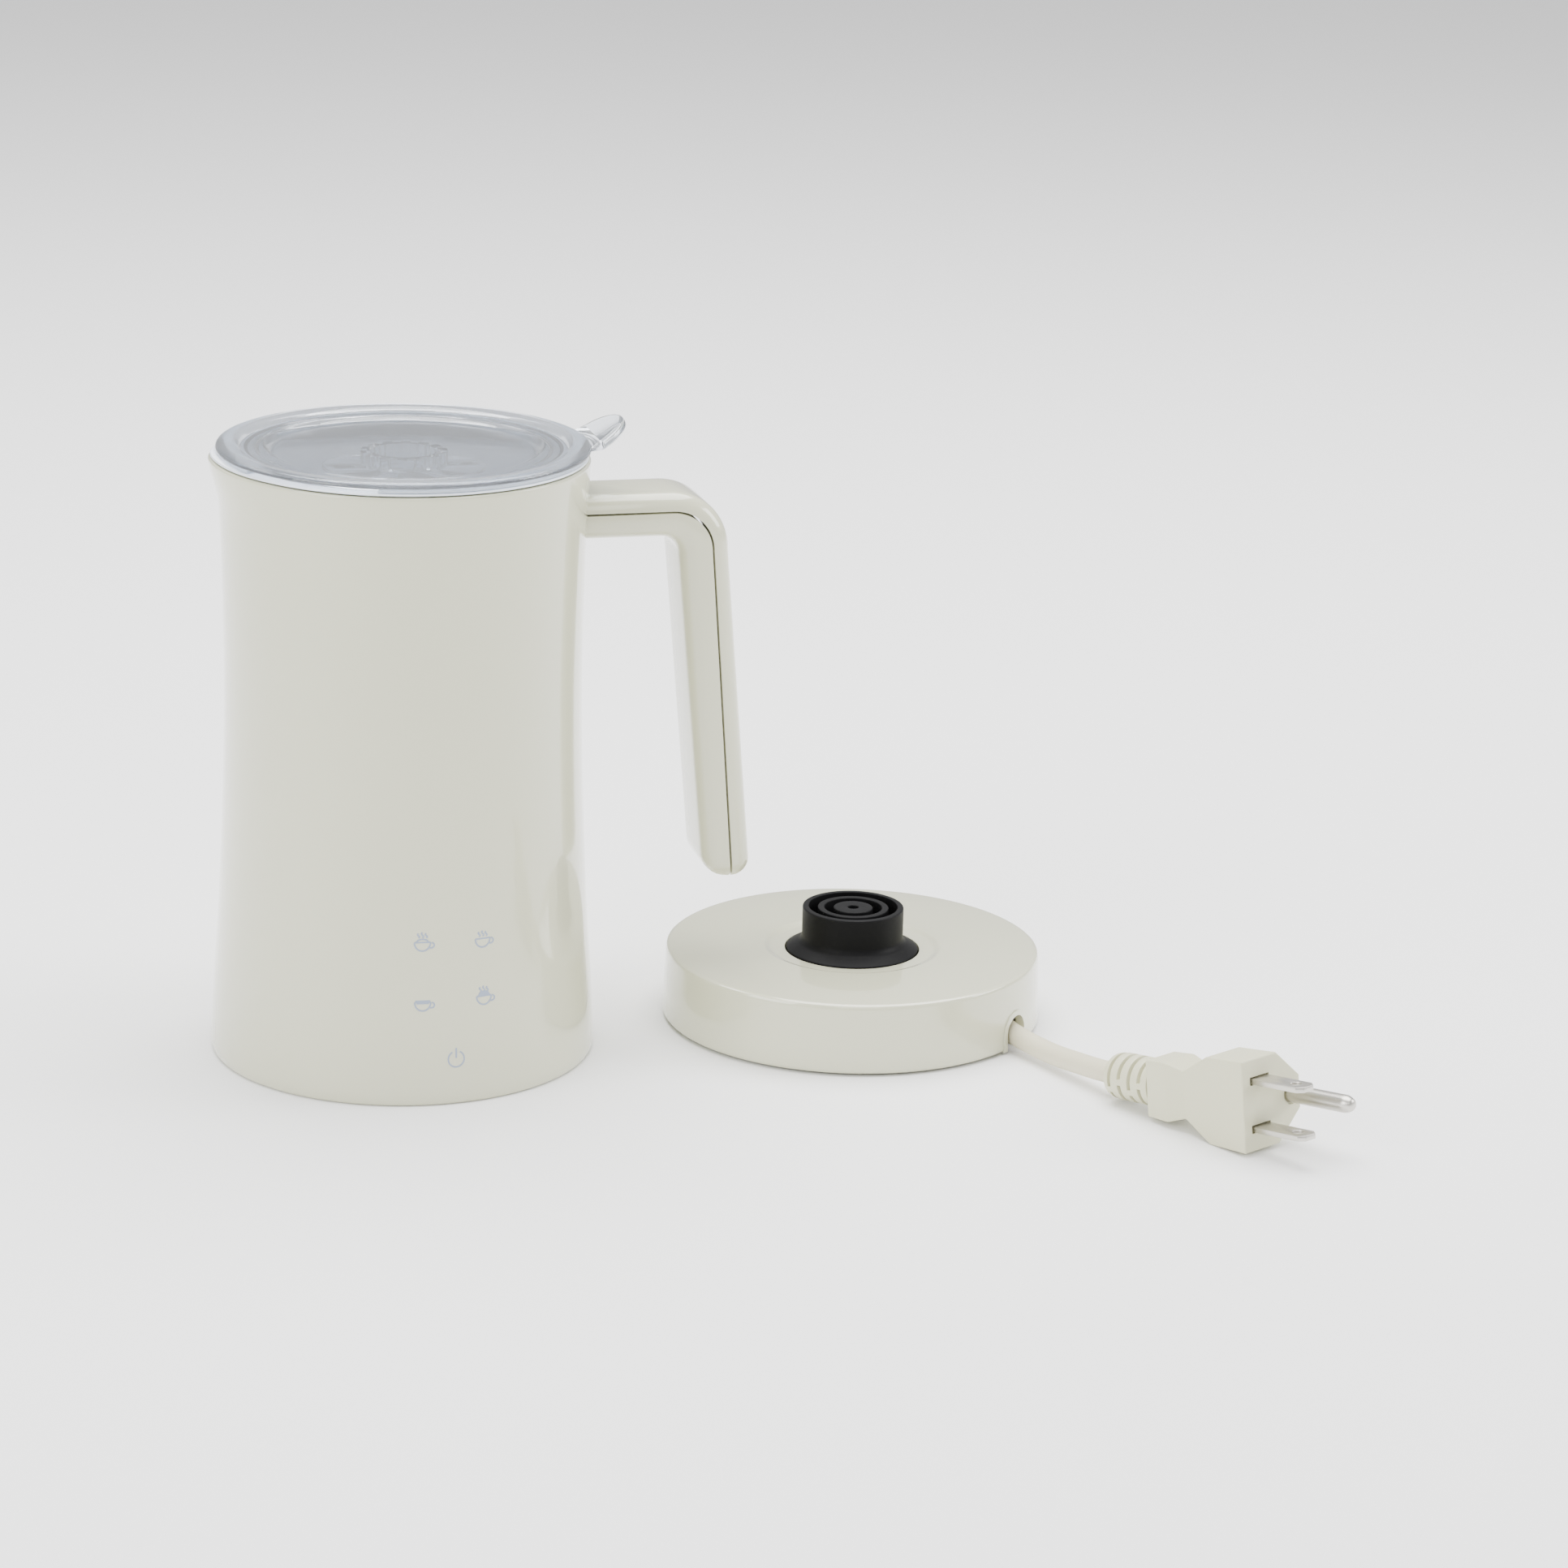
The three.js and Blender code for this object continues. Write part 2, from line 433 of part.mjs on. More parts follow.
function contactTower() {
  const { r, innerR, topZ, skirtR, skirtZ, ringR, postR, holeR, grooveZ } = tower;
  const bottom = drum.topZ + 0.1;
  const [ringOut, ringIn] = ringR;
  const profile = [[0, bottom], [20, bottom], [20, bottom + 1], [skirtR, bottom + 1], [skirtR, base.topZ - 0.7],
    [r, skirtZ], [r, topZ - 0.4], [r - 0.4, topZ], [innerR, topZ], [innerR, grooveZ], [ringOut, grooveZ],
    [ringOut, topZ - 0.3], [ringIn, topZ - 0.3], [ringIn, grooveZ], [postR, grooveZ], [postR, topZ - 0.3],
    [holeR, topZ - 0.3], [holeR, grooveZ], [0, grooveZ]];
  const pillars = drum.screwAngles.map((a) => solidOf(around(disc(2.6, drum.bottomZ + 2.1, bottom + 0.5), a,
    drum.screwR)));
  const bores = drum.screwAngles.map((a) => solidOf(around(disc(1.5, 0, 12.5), a, drum.screwR)));
  return piece('contact_tower', cut(join(solidOf(turned(profile, medium)), ...pillars), ...bores), black);
}

function baseHardware() {
  const { innerR, ringR, postR, grooveZ } = tower;
  const seat = grooveZ + 0.05;
  const parts = [
    piece('outer_contact', ring(ringR[0] + 0.2, innerR - 0.2, seat, seat + 1.6, medium), brass),
    piece('inner_contact', ring(postR + 0.2, ringR[1] - 0.2, seat, seat + 1.6, medium), brass),
    piece('centre_contact', disc(tower.holeR - 0.2, seat, seat + 3), brass),
    piece('lead_anchor', block(-10, 4, -3, 3, 3.7, 6.5), creamMatt),
    piece('terminal_block', block(-7, 7, 5, 11, 3.7, 12.5), creamMatt),
  ];
  [0, 90, 180, 270].forEach((a, i) => {
    const foot = turned([[0, 0], [3.6, 0], [4.2, 0.5], [4.2, 1.35], [0, 1.35]], small);
    parts.push(piece(`foot_${i + 1}`, around(foot, a, 43.5), rubber));
  });
  drum.screwAngles.forEach((a, i) => {
    const screw = turned([[0, 0.7], [2.8, 0.7], [2.8, 1.5], [1.3, 1.5], [1.3, 11.4], [0, 12]], small);
    parts.push(piece(`base_screw_${i + 1}`, around(screw, a, drum.screwR), steel));
  });
  return parts;
}

// Mains lead --------------------------------------------------------------------------------------

// Wraps a straight shape, lying along X from x = 0, round the start of the coil
function wrapOnCoil(geometry) {
  const at = geometry.getAttribute('position');
  for (let i = 0; i < at.count; i++) {
    const t = at.getX(i) / (2 * Math.PI * coilInnerR);
    const [x, y, z] = coilPoint(t);
    const r = Math.hypot(x, y);
    const grow = (r + at.getY(i)) / r;
    at.setXYZ(i, x * grow, y * grow, z + at.getZ(i));
  }
  return geometry;
}

function leadParts() {
  const { r, coilZ, outerR } = cord;
  const ringSolid = ring(coilInnerR - r + 0.1, outerR + r, coilZ - r, coilZ + r);
  const pocket = raised([[0, 0], ...arc(0, 0, coilInnerR + relief.rootR + 0.7, -360 * reliefTurns - 4, 24, 9)],
    drum.bottomZ, drum.ceilingZ).rotateZ(coilStartAz * deg);
  const before = coilPoint(cord.turns - 0.02);
  const exitArc = [before, ...leadPoints.slice(0, 5)];
  const coil = cut(solidOf(ringSolid), solidOf(pocket), solidOf(tube(exitArc, r + gap, 12, 10)));
  const steps = 6;
  const cone = Array.from({ length: steps + 1 }, (_, i) => [(relief.length * i) / steps,
    THREE.MathUtils.lerp(relief.rootR, relief.tipR, i / steps)]);
  return [
    piece('cord_coil', coil, creamMatt),
    piece('cord_relief', wrapOnCoil(spun([[0, 0], ...cone, [relief.length, 0]], 12)), creamMatt),
    piece('cord_lead', tube(leadPoints, r, 10, 12), creamMatt),
  ];
}

// Plug, drawn with its blades along +X, its height along Z and the earth pin towards +Y
function plugParts() {
  const { half, near, far, cheek, cheekHalf, shoulder, shoulderHalf, waist, waistHalf, neck, neckHalf,
    rear } = head;
  const section = (x, h, y0, y1, y2, h2) => [[x, y0, h], [x, y1, h], [x, y2, h2], [x, y2, -h2], [x, y1, -h],
    [x, y0, -h]];
  const face = section(0, half, near, cheek, far, cheekHalf);
  const back = section(shoulder, shoulderHalf, near + 0.2, cheek, far - 1.4, cheekHalf);
  const middle = section(waist, waistHalf, near + 1, 4, 6, 4);
  const front = section(neck, neckHalf, near, 5, near + 13.2, 6);
  const end = section(rear, neckHalf - 0.4, near + 0.4, 5, near + 12.8, 6);
  const hull = (...sections) => solidOf(new ConvexGeometry(sections.flat().map((p) => new THREE.Vector3(...p))));
  const slotTools = [-1, 1].map((side) => solidOf(block(-6, 0.5, -blade.width / 2 - 0.2, blade.width / 2 + 0.2,
    (side * blade.spacing) / 2 - blade.thick / 2 - 0.2, (side * blade.spacing) / 2 + blade.thick / 2 + 0.2)));
  const pinTool = solidOf(spun([[-6, 0], [-6, earth.r + 0.2], [0.5, earth.r + 0.2], [0.5, 0]]).translate(0,
    earth.offset, 0));
  const body = cut(join(hull(face, back), hull(back, middle), hull(middle, front), hull(front, end)),
    ...slotTools, pinTool);
  const parts = [
    piece('plug_body', body, creamMatt),
    piece('plug_boot', spun([[boot.rear, 0], [boot.rear, boot.tipR], [boot.rear + 1, boot.r], [rear - 0.2, boot.r],
      [rear - 0.2, 0]], medium), creamMatt),
    piece('earth_pin', spun([[-5.5, 0], [-5.5, earth.r], [earth.length - 2.2, earth.r],
      [earth.length - 0.7, earth.r * 0.72], [earth.length, 0]]).translate(0, earth.offset, 0), nickel),
  ];
  [['upper', 1], ['lower', -1]].forEach(([word, side]) => {
    const { length, width, thick, holeR, holeAt } = blade;
    const tip = [[-5.5, -width / 2], [length - 1.6, -width / 2], [length, -width / 2 + 1.3],
      [length, width / 2 - 1.3], [length - 1.6, width / 2], [-5.5, width / 2]];
    const hole = solidOf(disc(holeR, -2, 2).translate(holeAt, 0, 0));
    const z = (side * blade.spacing) / 2;
    const solid = cut(solidOf(raised(tip, -thick / 2, thick / 2)), hole);
    const mesh = piece(`${word}_blade`, solid, nickel);
    mesh.position.z = z;
    parts.push(mesh);
  });
  return parts;
}

// Assembly ----------------------------------------------------------------------------------------

const jugGroup = new THREE.Group();
jugGroup.add(outerShell(), innerLiner(), ...linerParts(), ...motorParts(), ...rotorParts(), ...controlParts(),
  ...undersideParts(), ...handleParts(), ...whiskParts(), lidPanel(), lidGasket(), spareWhisk());
jugGroup.position.x = jugX;

const plugGroup = new THREE.Group();
plugGroup.add(...plugParts());
plugGroup.position.set(plug.x, plug.y, plugZ);
plugGroup.rotation.set(0, -plug.pitch * deg, plug.az * deg, 'ZYX');

const baseGroup = new THREE.Group();
baseGroup.add(baseCover(), basePlate(), contactTower(), ...baseHardware(), ...leadParts(), plugGroup);
baseGroup.position.x = baseX;

const frother = new THREE.Group();
frother.name = 'milk_frother';
frother.add(jugGroup, baseGroup);

export default frother;
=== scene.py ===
import math
import bpy
from mathutils import Matrix, Vector


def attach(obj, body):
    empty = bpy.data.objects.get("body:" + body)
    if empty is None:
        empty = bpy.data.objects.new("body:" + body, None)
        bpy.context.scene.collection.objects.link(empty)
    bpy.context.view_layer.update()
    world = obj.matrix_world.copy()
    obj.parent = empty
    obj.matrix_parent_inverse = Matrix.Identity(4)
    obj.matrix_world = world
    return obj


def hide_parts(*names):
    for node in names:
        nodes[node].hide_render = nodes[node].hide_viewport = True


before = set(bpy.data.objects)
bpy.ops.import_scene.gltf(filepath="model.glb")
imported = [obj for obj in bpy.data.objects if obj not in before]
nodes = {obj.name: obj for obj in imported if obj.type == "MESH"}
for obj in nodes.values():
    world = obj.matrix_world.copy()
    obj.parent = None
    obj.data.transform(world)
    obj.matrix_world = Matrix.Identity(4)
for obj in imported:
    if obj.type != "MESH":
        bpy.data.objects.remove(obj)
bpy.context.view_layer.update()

mm = 0.001
jugX = -62.95  # upright axis of the jug
baseX = 62.35  # upright axis of the base

# camera, at the height and distance of a close studio view
view = {"place": (-0.28145, -1.2097, 0.44058), "yaw": 14.96, "dip": 16.61, "roll": 1.48, "lens": 110.47}


def placeCamera():
    yaw, dip, roll = (math.radians(view[k]) for k in ("yaw", "dip", "roll"))
    ahead = Vector((math.sin(yaw) * math.cos(dip), math.cos(yaw) * math.cos(dip), -math.sin(dip)))
    level = Vector((math.cos(yaw), -math.sin(yaw), 0))
    upright = level.cross(ahead)
    right = level * math.cos(roll) + upright * math.sin(roll)
    top = upright * math.cos(roll) - level * math.sin(roll)
    camera = bpy.data.cameras.new("studioCamera")
    camera.lens = view["lens"]
    camera.sensor_width = 36
    holder = bpy.data.objects.new("studioCamera", camera)
    turn = Matrix((right, top, -ahead)).transposed().to_4x4()
    holder.matrix_world = Matrix.Translation(view["place"]) @ turn
    bpy.context.collection.objects.link(holder)
    bpy.context.scene.camera = holder


placeCamera()
print("camera placed")


# Finishes are node materials; shared effects are groups


def newGroup(name, inputs, outputs):
    group = bpy.data.node_groups.new(name, "ShaderNodeTree")
    for label, kind, value in inputs:
        socket = group.interface.new_socket(name=label, in_out="INPUT", socket_type=kind)
        if value is not None:
            socket.default_value = value
    for label, kind in outputs:
        group.interface.new_socket(name=label, in_out="OUTPUT", socket_type=kind)
    start = group.nodes.new("NodeGroupInput")
    end = group.nodes.new("NodeGroupOutput")
    return group, start, end


def mathNode(tree, operation, first, second):
    node = tree.nodes.new("ShaderNodeMath")
    node.operation = operation
    for socket, value in zip(node.inputs, (first, second)):
        if isinstance(value, (int, float)):
            socket.default_value = value
        else:
            tree.links.new(value, socket)
    return node.outputs[0]


def noiseNode(tree, vector, scale, detail, roughness=0.5):
    node = tree.nodes.new("ShaderNodeTexNoise")
    tree.links.new(vector, node.inputs["Vector"])
    if isinstance(scale, (int, float)):
        node.inputs["Scale"].default_value = scale
    else:
        tree.links.new(scale, node.inputs["Scale"])
    node.inputs["Detail"].default_value = detail
    node.inputs["Roughness"].default_value = roughness
    return node.outputs["Fac"]


# moulded plastic: slow colour drift, faint flow streaks, fine surface texture
def mouldedGroup():
    group, start, end = newGroup("mouldedPlastic", [
        ("Vector", "NodeSocketVector", None), ("Tone", "NodeSocketColor", None),
        ("Drift Tone", "NodeSocketColor", None), ("Roughness", "NodeSocketFloat", 0.3),
        ("Roughness Spread", "NodeSocketFloat", 0.05), ("Grain Size", "NodeSocketFloat", 900.0),
        ("Grain Height", "NodeSocketFloat", 0.1)], [
        ("Color", "NodeSocketColor"), ("Roughness", "NodeSocketFloat"), ("Normal", "NodeSocketVector")])
    links = group.links
    vector = start.outputs["Vector"]
    drift = noiseNode(group, vector, 14.0, 3.0)
    stretch = group.nodes.new("ShaderNodeMapping")
    stretch.inputs["Scale"].default_value = (60.0, 60.0, 9.0)
    links.new(vector, stretch.inputs["Vector"])
    flow = noiseNode(group, stretch.outputs["Vector"], 1.0, 4.0)
    grain = noiseNode(group, vector, start.outputs["Grain Size"], 2.0)
    mix = group.nodes.new("ShaderNodeMix")
    mix.data_type = "RGBA"
    links.new(drift, mix.inputs[0])
    links.new(start.outputs["Tone"], mix.inputs[6])
    links.new(start.outputs["Drift Tone"], mix.inputs[7])
    links.new(mix.outputs[2], end.inputs["Color"])
    centred = mathNode(group, "SUBTRACT", mathNode(group, "MULTIPLY", flow, 0.6), 0.3)
    grained = mathNode(group, "ADD", centred, mathNode(group, "MULTIPLY", grain, 0.4))
    spread = mathNode(group, "MULTIPLY", grained, start.outputs["Roughness Spread"])
    links.new(mathNode(group, "ADD", start.outputs["Roughness"], spread), end.inputs["Roughness"])
    bump = group.nodes.new("ShaderNodeBump")
    bump.inputs["Distance"].default_value = 0.00008
    links.new(start.outputs["Grain Height"], bump.inputs["Strength"])
    links.new(grain, bump.inputs["Height"])
    links.new(bump.outputs["Normal"], end.inputs["Normal"])
    return group


# turned or brushed metal: fine rings about an upright axis, and faint wear
def spunGroup():
    group, start, end = newGroup("spunMetal", [
        ("Vector", "NodeSocketVector", None), ("Tone", "NodeSocketColor", None),
        ("Worn Tone", "NodeSocketColor", None), ("Roughness", "NodeSocketFloat", 0.25),
        ("Ring Size", "NodeSocketFloat", 1500.0), ("Ring Height", "NodeSocketFloat", 0.2)], [
        ("Color", "NodeSocketColor"), ("Roughness", "NodeSocketFloat"), ("Normal", "NodeSocketVector")])
    links = group.links
    split = group.nodes.new("ShaderNodeSeparateXYZ")
    links.new(start.outputs["Vector"], split.inputs["Vector"])
    squareX = mathNode(group, "MULTIPLY", split.outputs["X"], split.outputs["X"])
    squareY = mathNode(group, "MULTIPLY", split.outputs["Y"], split.outputs["Y"])
    reach = mathNode(group, "SQRT", mathNode(group, "ADD", squareX, squareY), 0.0)
    line = group.nodes.new("ShaderNodeCombineXYZ")
    links.new(reach, line.inputs["X"])
    links.new(split.outputs["Z"], line.inputs["Y"])
    rings = noiseNode(group, line.outputs["Vector"], start.outputs["Ring Size"], 3.0, 0.6)
    wear = noiseNode(group, start.outputs["Vector"], 40.0, 4.0, 0.6)
    mix = group.nodes.new("ShaderNodeMix")
    mix.data_type = "RGBA"
    links.new(wear, mix.inputs[0])
    links.new(start.outputs["Tone"], mix.inputs[6])
    links.new(start.outputs["Worn Tone"], mix.inputs[7])
    links.new(mix.outputs[2], end.inputs["Color"])
    added = mathNode(group, "MULTIPLY", mathNode(group, "ADD", rings, wear), 0.12)
    links.new(mathNode(group, "ADD", start.outputs["Roughness"], added), end.inputs["Roughness"])
    bump = group.nodes.new("ShaderNodeBump")
    bump.inputs["Distance"].default_value = 0.00003
    links.new(start.outputs["Ring Height"], bump.inputs["Strength"])
    links.new(rings, bump.inputs["Height"])
    links.new(bump.outputs["Normal"], end.inputs["Normal"])
    return group


moulded = mouldedGroup()
spunMetal = spunGroup()


def newMaterial(name, group, centre, values, fixed):
    material = bpy.data.materials.new(name)
    material.use_nodes = True
    tree = material.node_tree
    shader = tree.nodes["Principled BSDF"]
    place = tree.nodes.new("ShaderNodeTexCoord")
    shift = tree.nodes.new("ShaderNodeMapping")
    shift.inputs["Location"].default_value = (-centre * mm, 0, 0)
    effect = tree.nodes.new("ShaderNodeGroup")
    effect.node_tree = group
    tree.links.new(place.outputs["Object"], shift.inputs["Vector"])
    tree.links.new(shift.outputs["Vector"], effect.inputs["Vector"])
    for label, value in values.items():
        effect.inputs[label].default_value = (*value, 1) if isinstance(value, tuple) else value
    tree.links.new(effect.outputs["Color"], shader.inputs["Base Color"])
    tree.links.new(effect.outputs["Roughness"], shader.inputs["Roughness"])
    tree.links.new(effect.outputs["Normal"], shader.inputs["Normal"])
    for label, value in fixed.items():
        shader.inputs[label].default_value = value
    return material


def plastic(name, tone, drift, rough, spread=0.05, grainSize=900.0, grainHeight=0.1, **fixed):
    values = {"Tone": tone, "Drift Tone": drift, "Roughness": rough, "Roughness Spread": spread,
              "Grain Size": grainSize, "Grain Height": grainHeight}
    return newMaterial(name, moulded, 0, values, {k.replace("_", " "): v for k, v in fixed.items()})


def metal(name, tone, worn, rough, ringSize=1500.0, ringHeight=0.2, centre=jugX):
    values = {"Tone": tone, "Worn Tone": worn, "Roughness": rough, "Ring Size": ringSize,
              "Ring Height": ringHeight}
    return newMaterial(name, spunMetal, centre, values, {"Metallic": 1.0})


glossCream = plastic("glossCream", (0.54, 0.54, 0.39), (0.57, 0.57, 0.42), 0.2, 0.05, 600.0, 0.03,
                     Coat_Weight=1.0, Coat_Roughness=0.04)
satinCream = plastic("satinCream", (0.58, 0.57, 0.4), (0.61, 0.6, 0.43), 0.38, 0.08, 1500.0, 0.14)
cordCream = plastic("cordCream", (0.6, 0.56, 0.41), (0.64, 0.6, 0.45), 0.45, 0.1, 2200.0, 0.2)
hiddenCream = plastic("hiddenCream", (0.62, 0.6, 0.52), (0.66, 0.64, 0.56), 0.5, 0.1, 1200.0, 0.3)
towerBlack = plastic("towerBlack", (0.004, 0.004, 0.0045), (0.007, 0.007, 0.0075), 0.45, 0.12, 1600.0, 0.2,
                     Specular_IOR_Level=0.08)
footRubber = plastic("footRubber", (0.5, 0.49, 0.45), (0.42, 0.41, 0.38), 0.8, 0.1, 1800.0, 0.5)
sealGrey = plastic("sealGrey", (0.1, 0.1, 0.1), (0.14, 0.14, 0.14), 0.55, 0.1, 1400.0, 0.3)
boardGreen = plastic("boardGreen", (0.02, 0.14, 0.06), (0.04, 0.2, 0.09), 0.4, 0.2, 700.0, 0.3)
iconBlue = plastic("iconBlue", (0.26, 0.31, 0.41), (0.3, 0.35, 0.45), 0.3, 0.05, 900.0, 0.05)
linerSteel = metal("linerSteel", (0.9, 0.93, 0.98), (0.86, 0.9, 0.95), 0.52)
plainSteel = metal("plainSteel", (0.56, 0.56, 0.57), (0.45, 0.45, 0.46), 0.28, 900.0)
springSteel = metal("springSteel", (0.66, 0.66, 0.67), (0.55, 0.55, 0.56), 0.18, 2500.0, 0.1)
contactBrass = metal("contactBrass", (0.6, 0.45, 0.18), (0.45, 0.32, 0.13), 0.3, 1800.0, 0.2, baseX)
bladeNickel = metal("bladeNickel", (0.62, 0.6, 0.55), (0.5, 0.48, 0.44), 0.2, 700.0, 0.3, 140)
castAluminium = metal("castAluminium", (0.6, 0.61, 0.62), (0.5, 0.51, 0.52), 0.45, 300.0, 0.5)
magnetGrey = metal("magnetGrey", (0.35, 0.36, 0.37), (0.28, 0.28, 0.3), 0.3, 600.0, 0.2)
clearLid = plastic("clearLid", (0.88, 0.92, 0.98), (0.86, 0.905, 0.97), 0.03, 0.03, 400.0, 0.02,
                   Transmission_Weight=0.95, IOR=1.47)
softSeal = plastic("softSeal", (0.72, 0.78, 0.85), (0.66, 0.72, 0.8), 0.3, 0.1, 1200.0, 0.1,
                   Transmission_Weight=0.35, IOR=1.41)
print("finishes made")


def pick(piece):
    if bpy.context.object and bpy.context.object.mode != "OBJECT":
        bpy.ops.object.mode_set(mode="OBJECT")
    bpy.ops.object.select_all(action="DESELECT")
    piece.select_set(True)
    bpy.context.view_layer.objects.active = piece


# a line of points in millimetres, ready to be spun or filled
def drawLine(name, points, closed):
    mesh = bpy.data.meshes.new(name)
    count = len(points)
    edges = [(i, (i + 1) % count) for i in range(count if closed else count - 1)]
    mesh.from_pydata([Vector(p) * mm for p in points], edges, [])
    piece = bpy.data.objects.new(name, mesh)
    bpy.context.collection.objects.link(piece)
    pick(piece)
    return piece


def tidyMesh():
    bpy.ops.mesh.select_all(action="SELECT")
    bpy.ops.mesh.remove_doubles(threshold=2e-6)
    bpy.ops.mesh.dissolve_degenerate(threshold=1e-7)
    bpy.ops.mesh.normals_make_consistent(inside=False)
    bpy.ops.object.mode_set(mode="OBJECT")


# corners given as (radius, height, rounding) become small curves
def softCorners(profile, steps=5):
    line = []
    count = len(profile)
    for i, corner in enumerate(profile):
        here = Vector(corner[:2])
        rounding = corner[2] if len(corner) > 2 else 0
        if not rounding:
            line.append(tuple(here))
            continue
        back = Vector(profile[i - 1][:2]) - here
        on = Vector(profile[(i + 1) % count][:2]) - here
        reach = min(rounding, back.length * 0.48, on.length * 0.48)
        start, end = here + back.normalized() * reach, here + on.normalized() * reach
        for k in range(steps + 1):
            t = k / steps
            line.append(tuple(start * (1 - t) ** 2 + here * 2 * t * (1 - t) + end * t ** 2))
    return line


# a closed (radius, height) profile spun about an upright axis at x = axisX
def spinPiece(name, profile, axisX, steps=128, startAz=0.0, sweep=360.0):
    a = math.radians(startAz)
    whole = sweep == 360.0
    onAxis = profile[0][0] == 0 and profile[-1][0] == 0
    line = [(axisX + r * math.cos(a), r * math.sin(a), z) for r, z in profile]
    piece = drawLine(name, line, not (onAxis and whole))
    bpy.ops.object.mode_set(mode="EDIT")
    bpy.ops.mesh.select_all(action="SELECT")
    if not whole:
        bpy.ops.mesh.edge_face_add()
    bpy.ops.mesh.spin(steps=steps, angle=math.radians(sweep), center=(axisX * mm, 0, 0), axis=(0, 0, 1))
    tidyMesh()
    return piece


# an outline in the x-z plane given a width across y
def slabPiece(name, outline, halfWidth):
    piece = drawLine(name, [(x, -halfWidth, z) for x, z in outline], True)
    bpy.ops.object.mode_set(mode="EDIT")
    bpy.ops.mesh.select_all(action="SELECT")
    bpy.ops.mesh.edge_face_add()
    bpy.ops.mesh.extrude_region_move(TRANSFORM_OT_translate={"value": (0, 2 * halfWidth * mm, 0)})
    tidyMesh()
    return piece


def applyModifier(piece, kind, **settings):
    pick(piece)
    modifier = piece.modifiers.new(kind.lower(), kind)
    for key, value in settings.items():
        setattr(modifier, key, value)
    bpy.ops.object.modifier_apply(modifier=modifier.name)


def combine(piece, tool, operation):
    applyModifier(piece, "BOOLEAN", object=tool, operation=operation, solver="EXACT")
    bpy.data.objects.remove(tool)


def roundEdges(piece, width, segments=3, angle=35):
    applyModifier(piece, "BEVEL", width=width * mm, segments=segments, limit_method="ANGLE",
                  angle_limit=math.radians(angle), use_clamp_overlap=True, harden_normals=False)


def move(piece, matrix):
    piece.data.transform(matrix)
    piece.data.update()


# the place and turn of something set about an upright axis
def about(axisX, angle):
    return Matrix.Translation((axisX * mm, 0, 0)) @ Matrix.Rotation(angle, 4, "Z")


def finishPiece(piece, material, body, replaced=(), angle=32):
    piece.data.materials.clear()
    piece.data.materials.append(material)
    pick(piece)
    if piece.type == "MESH":
        bpy.ops.object.shade_smooth_by_angle(angle=math.radians(angle))
    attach(piece, body)
    if replaced:
        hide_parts(*replaced)
    return piece


# a bent rod or wire through points in millimetres, as a mesh
def rodPiece(name, points, radii, closed=False, sides=2):
    curve = bpy.data.curves.new(name, "CURVE")
    curve.dimensions = "3D"
    curve.bevel_depth = mm
    curve.bevel_resolution = sides
    curve.use_fill_caps = not closed
    spline = curve.splines.new("POLY")
    spline.points.add(len(points) - 1)
    for i, place in enumerate(points):
        spline.points[i].co = (*(Vector(place) * mm), 1)
        spline.points[i].radius = radii[i] if isinstance(radii, list) else radii
    spline.use_cyclic_u = closed
    piece = bpy.data.objects.new(name, curve)
    bpy.context.collection.objects.link(piece)
    pick(piece)
    bpy.ops.object.convert(target="MESH")
    return bpy.context.object


def smoothStep(t):
    t = min(max(t, 0.0), 1.0)
    return t * t * (3 - 2 * t)


def throughPoints(points, steps):
    ends = [points[0], *points, points[-1]]
    line = []
    for i in range(1, len(ends) - 2):
        a, b, c, d = (Vector(ends[k]) for k in (i - 1, i, i + 1, i + 2))
        for k in range(steps):
            t = k / steps
            pull, push = (c - a) * 0.5, (d - b) * 0.5
            line.append(b + pull * t + (3 * (c - b) - 2 * pull - push) * t ** 2
                        + (2 * (b - c) + pull + push) * t ** 3)
    return [tuple(p) for p in line] + [tuple(points[-1])]


# Mains lead: wound flat under the base, out through the notch, then on to the plug
lead = {"r": 2.9, "coilZ": 5.6, "turns": 2.8, "outerR": 41.3, "pitch": 5.95, "room": 1.2, "exitAz": -26.3,
        "perTurn": 40, "reliefLength": 22, "reliefRoot": 4.5, "reliefTip": 3.5,
        "reliefSteps": 12}
leadRoute = [(36.9, -18.2, 5.6), (34.9, -24.3, 5.3), (34.5, -30.4, 4.9), (35.6, -36.5, 4.5),
             (37.6, -42.6, 4.2), (39.9, -49.1, 4.1), (42.3, -55.8, 4.3), (45.1, -63, 4.9), (48.2, -71, 5.7),
             (51.4, -78, 6.5)]
coilInnerR = lead["outerR"] - lead["pitch"] * lead["turns"] - lead["room"]


def coilPlace(turn):
    r = coilInnerR + lead["pitch"] * turn + lead["room"] * smoothStep((turn - 0.15) / 0.85)
    a = math.radians(lead["exitAz"] + 360 * (lead["turns"] - turn))
    return (baseX + r * math.cos(a), r * math.sin(a), lead["coilZ"])


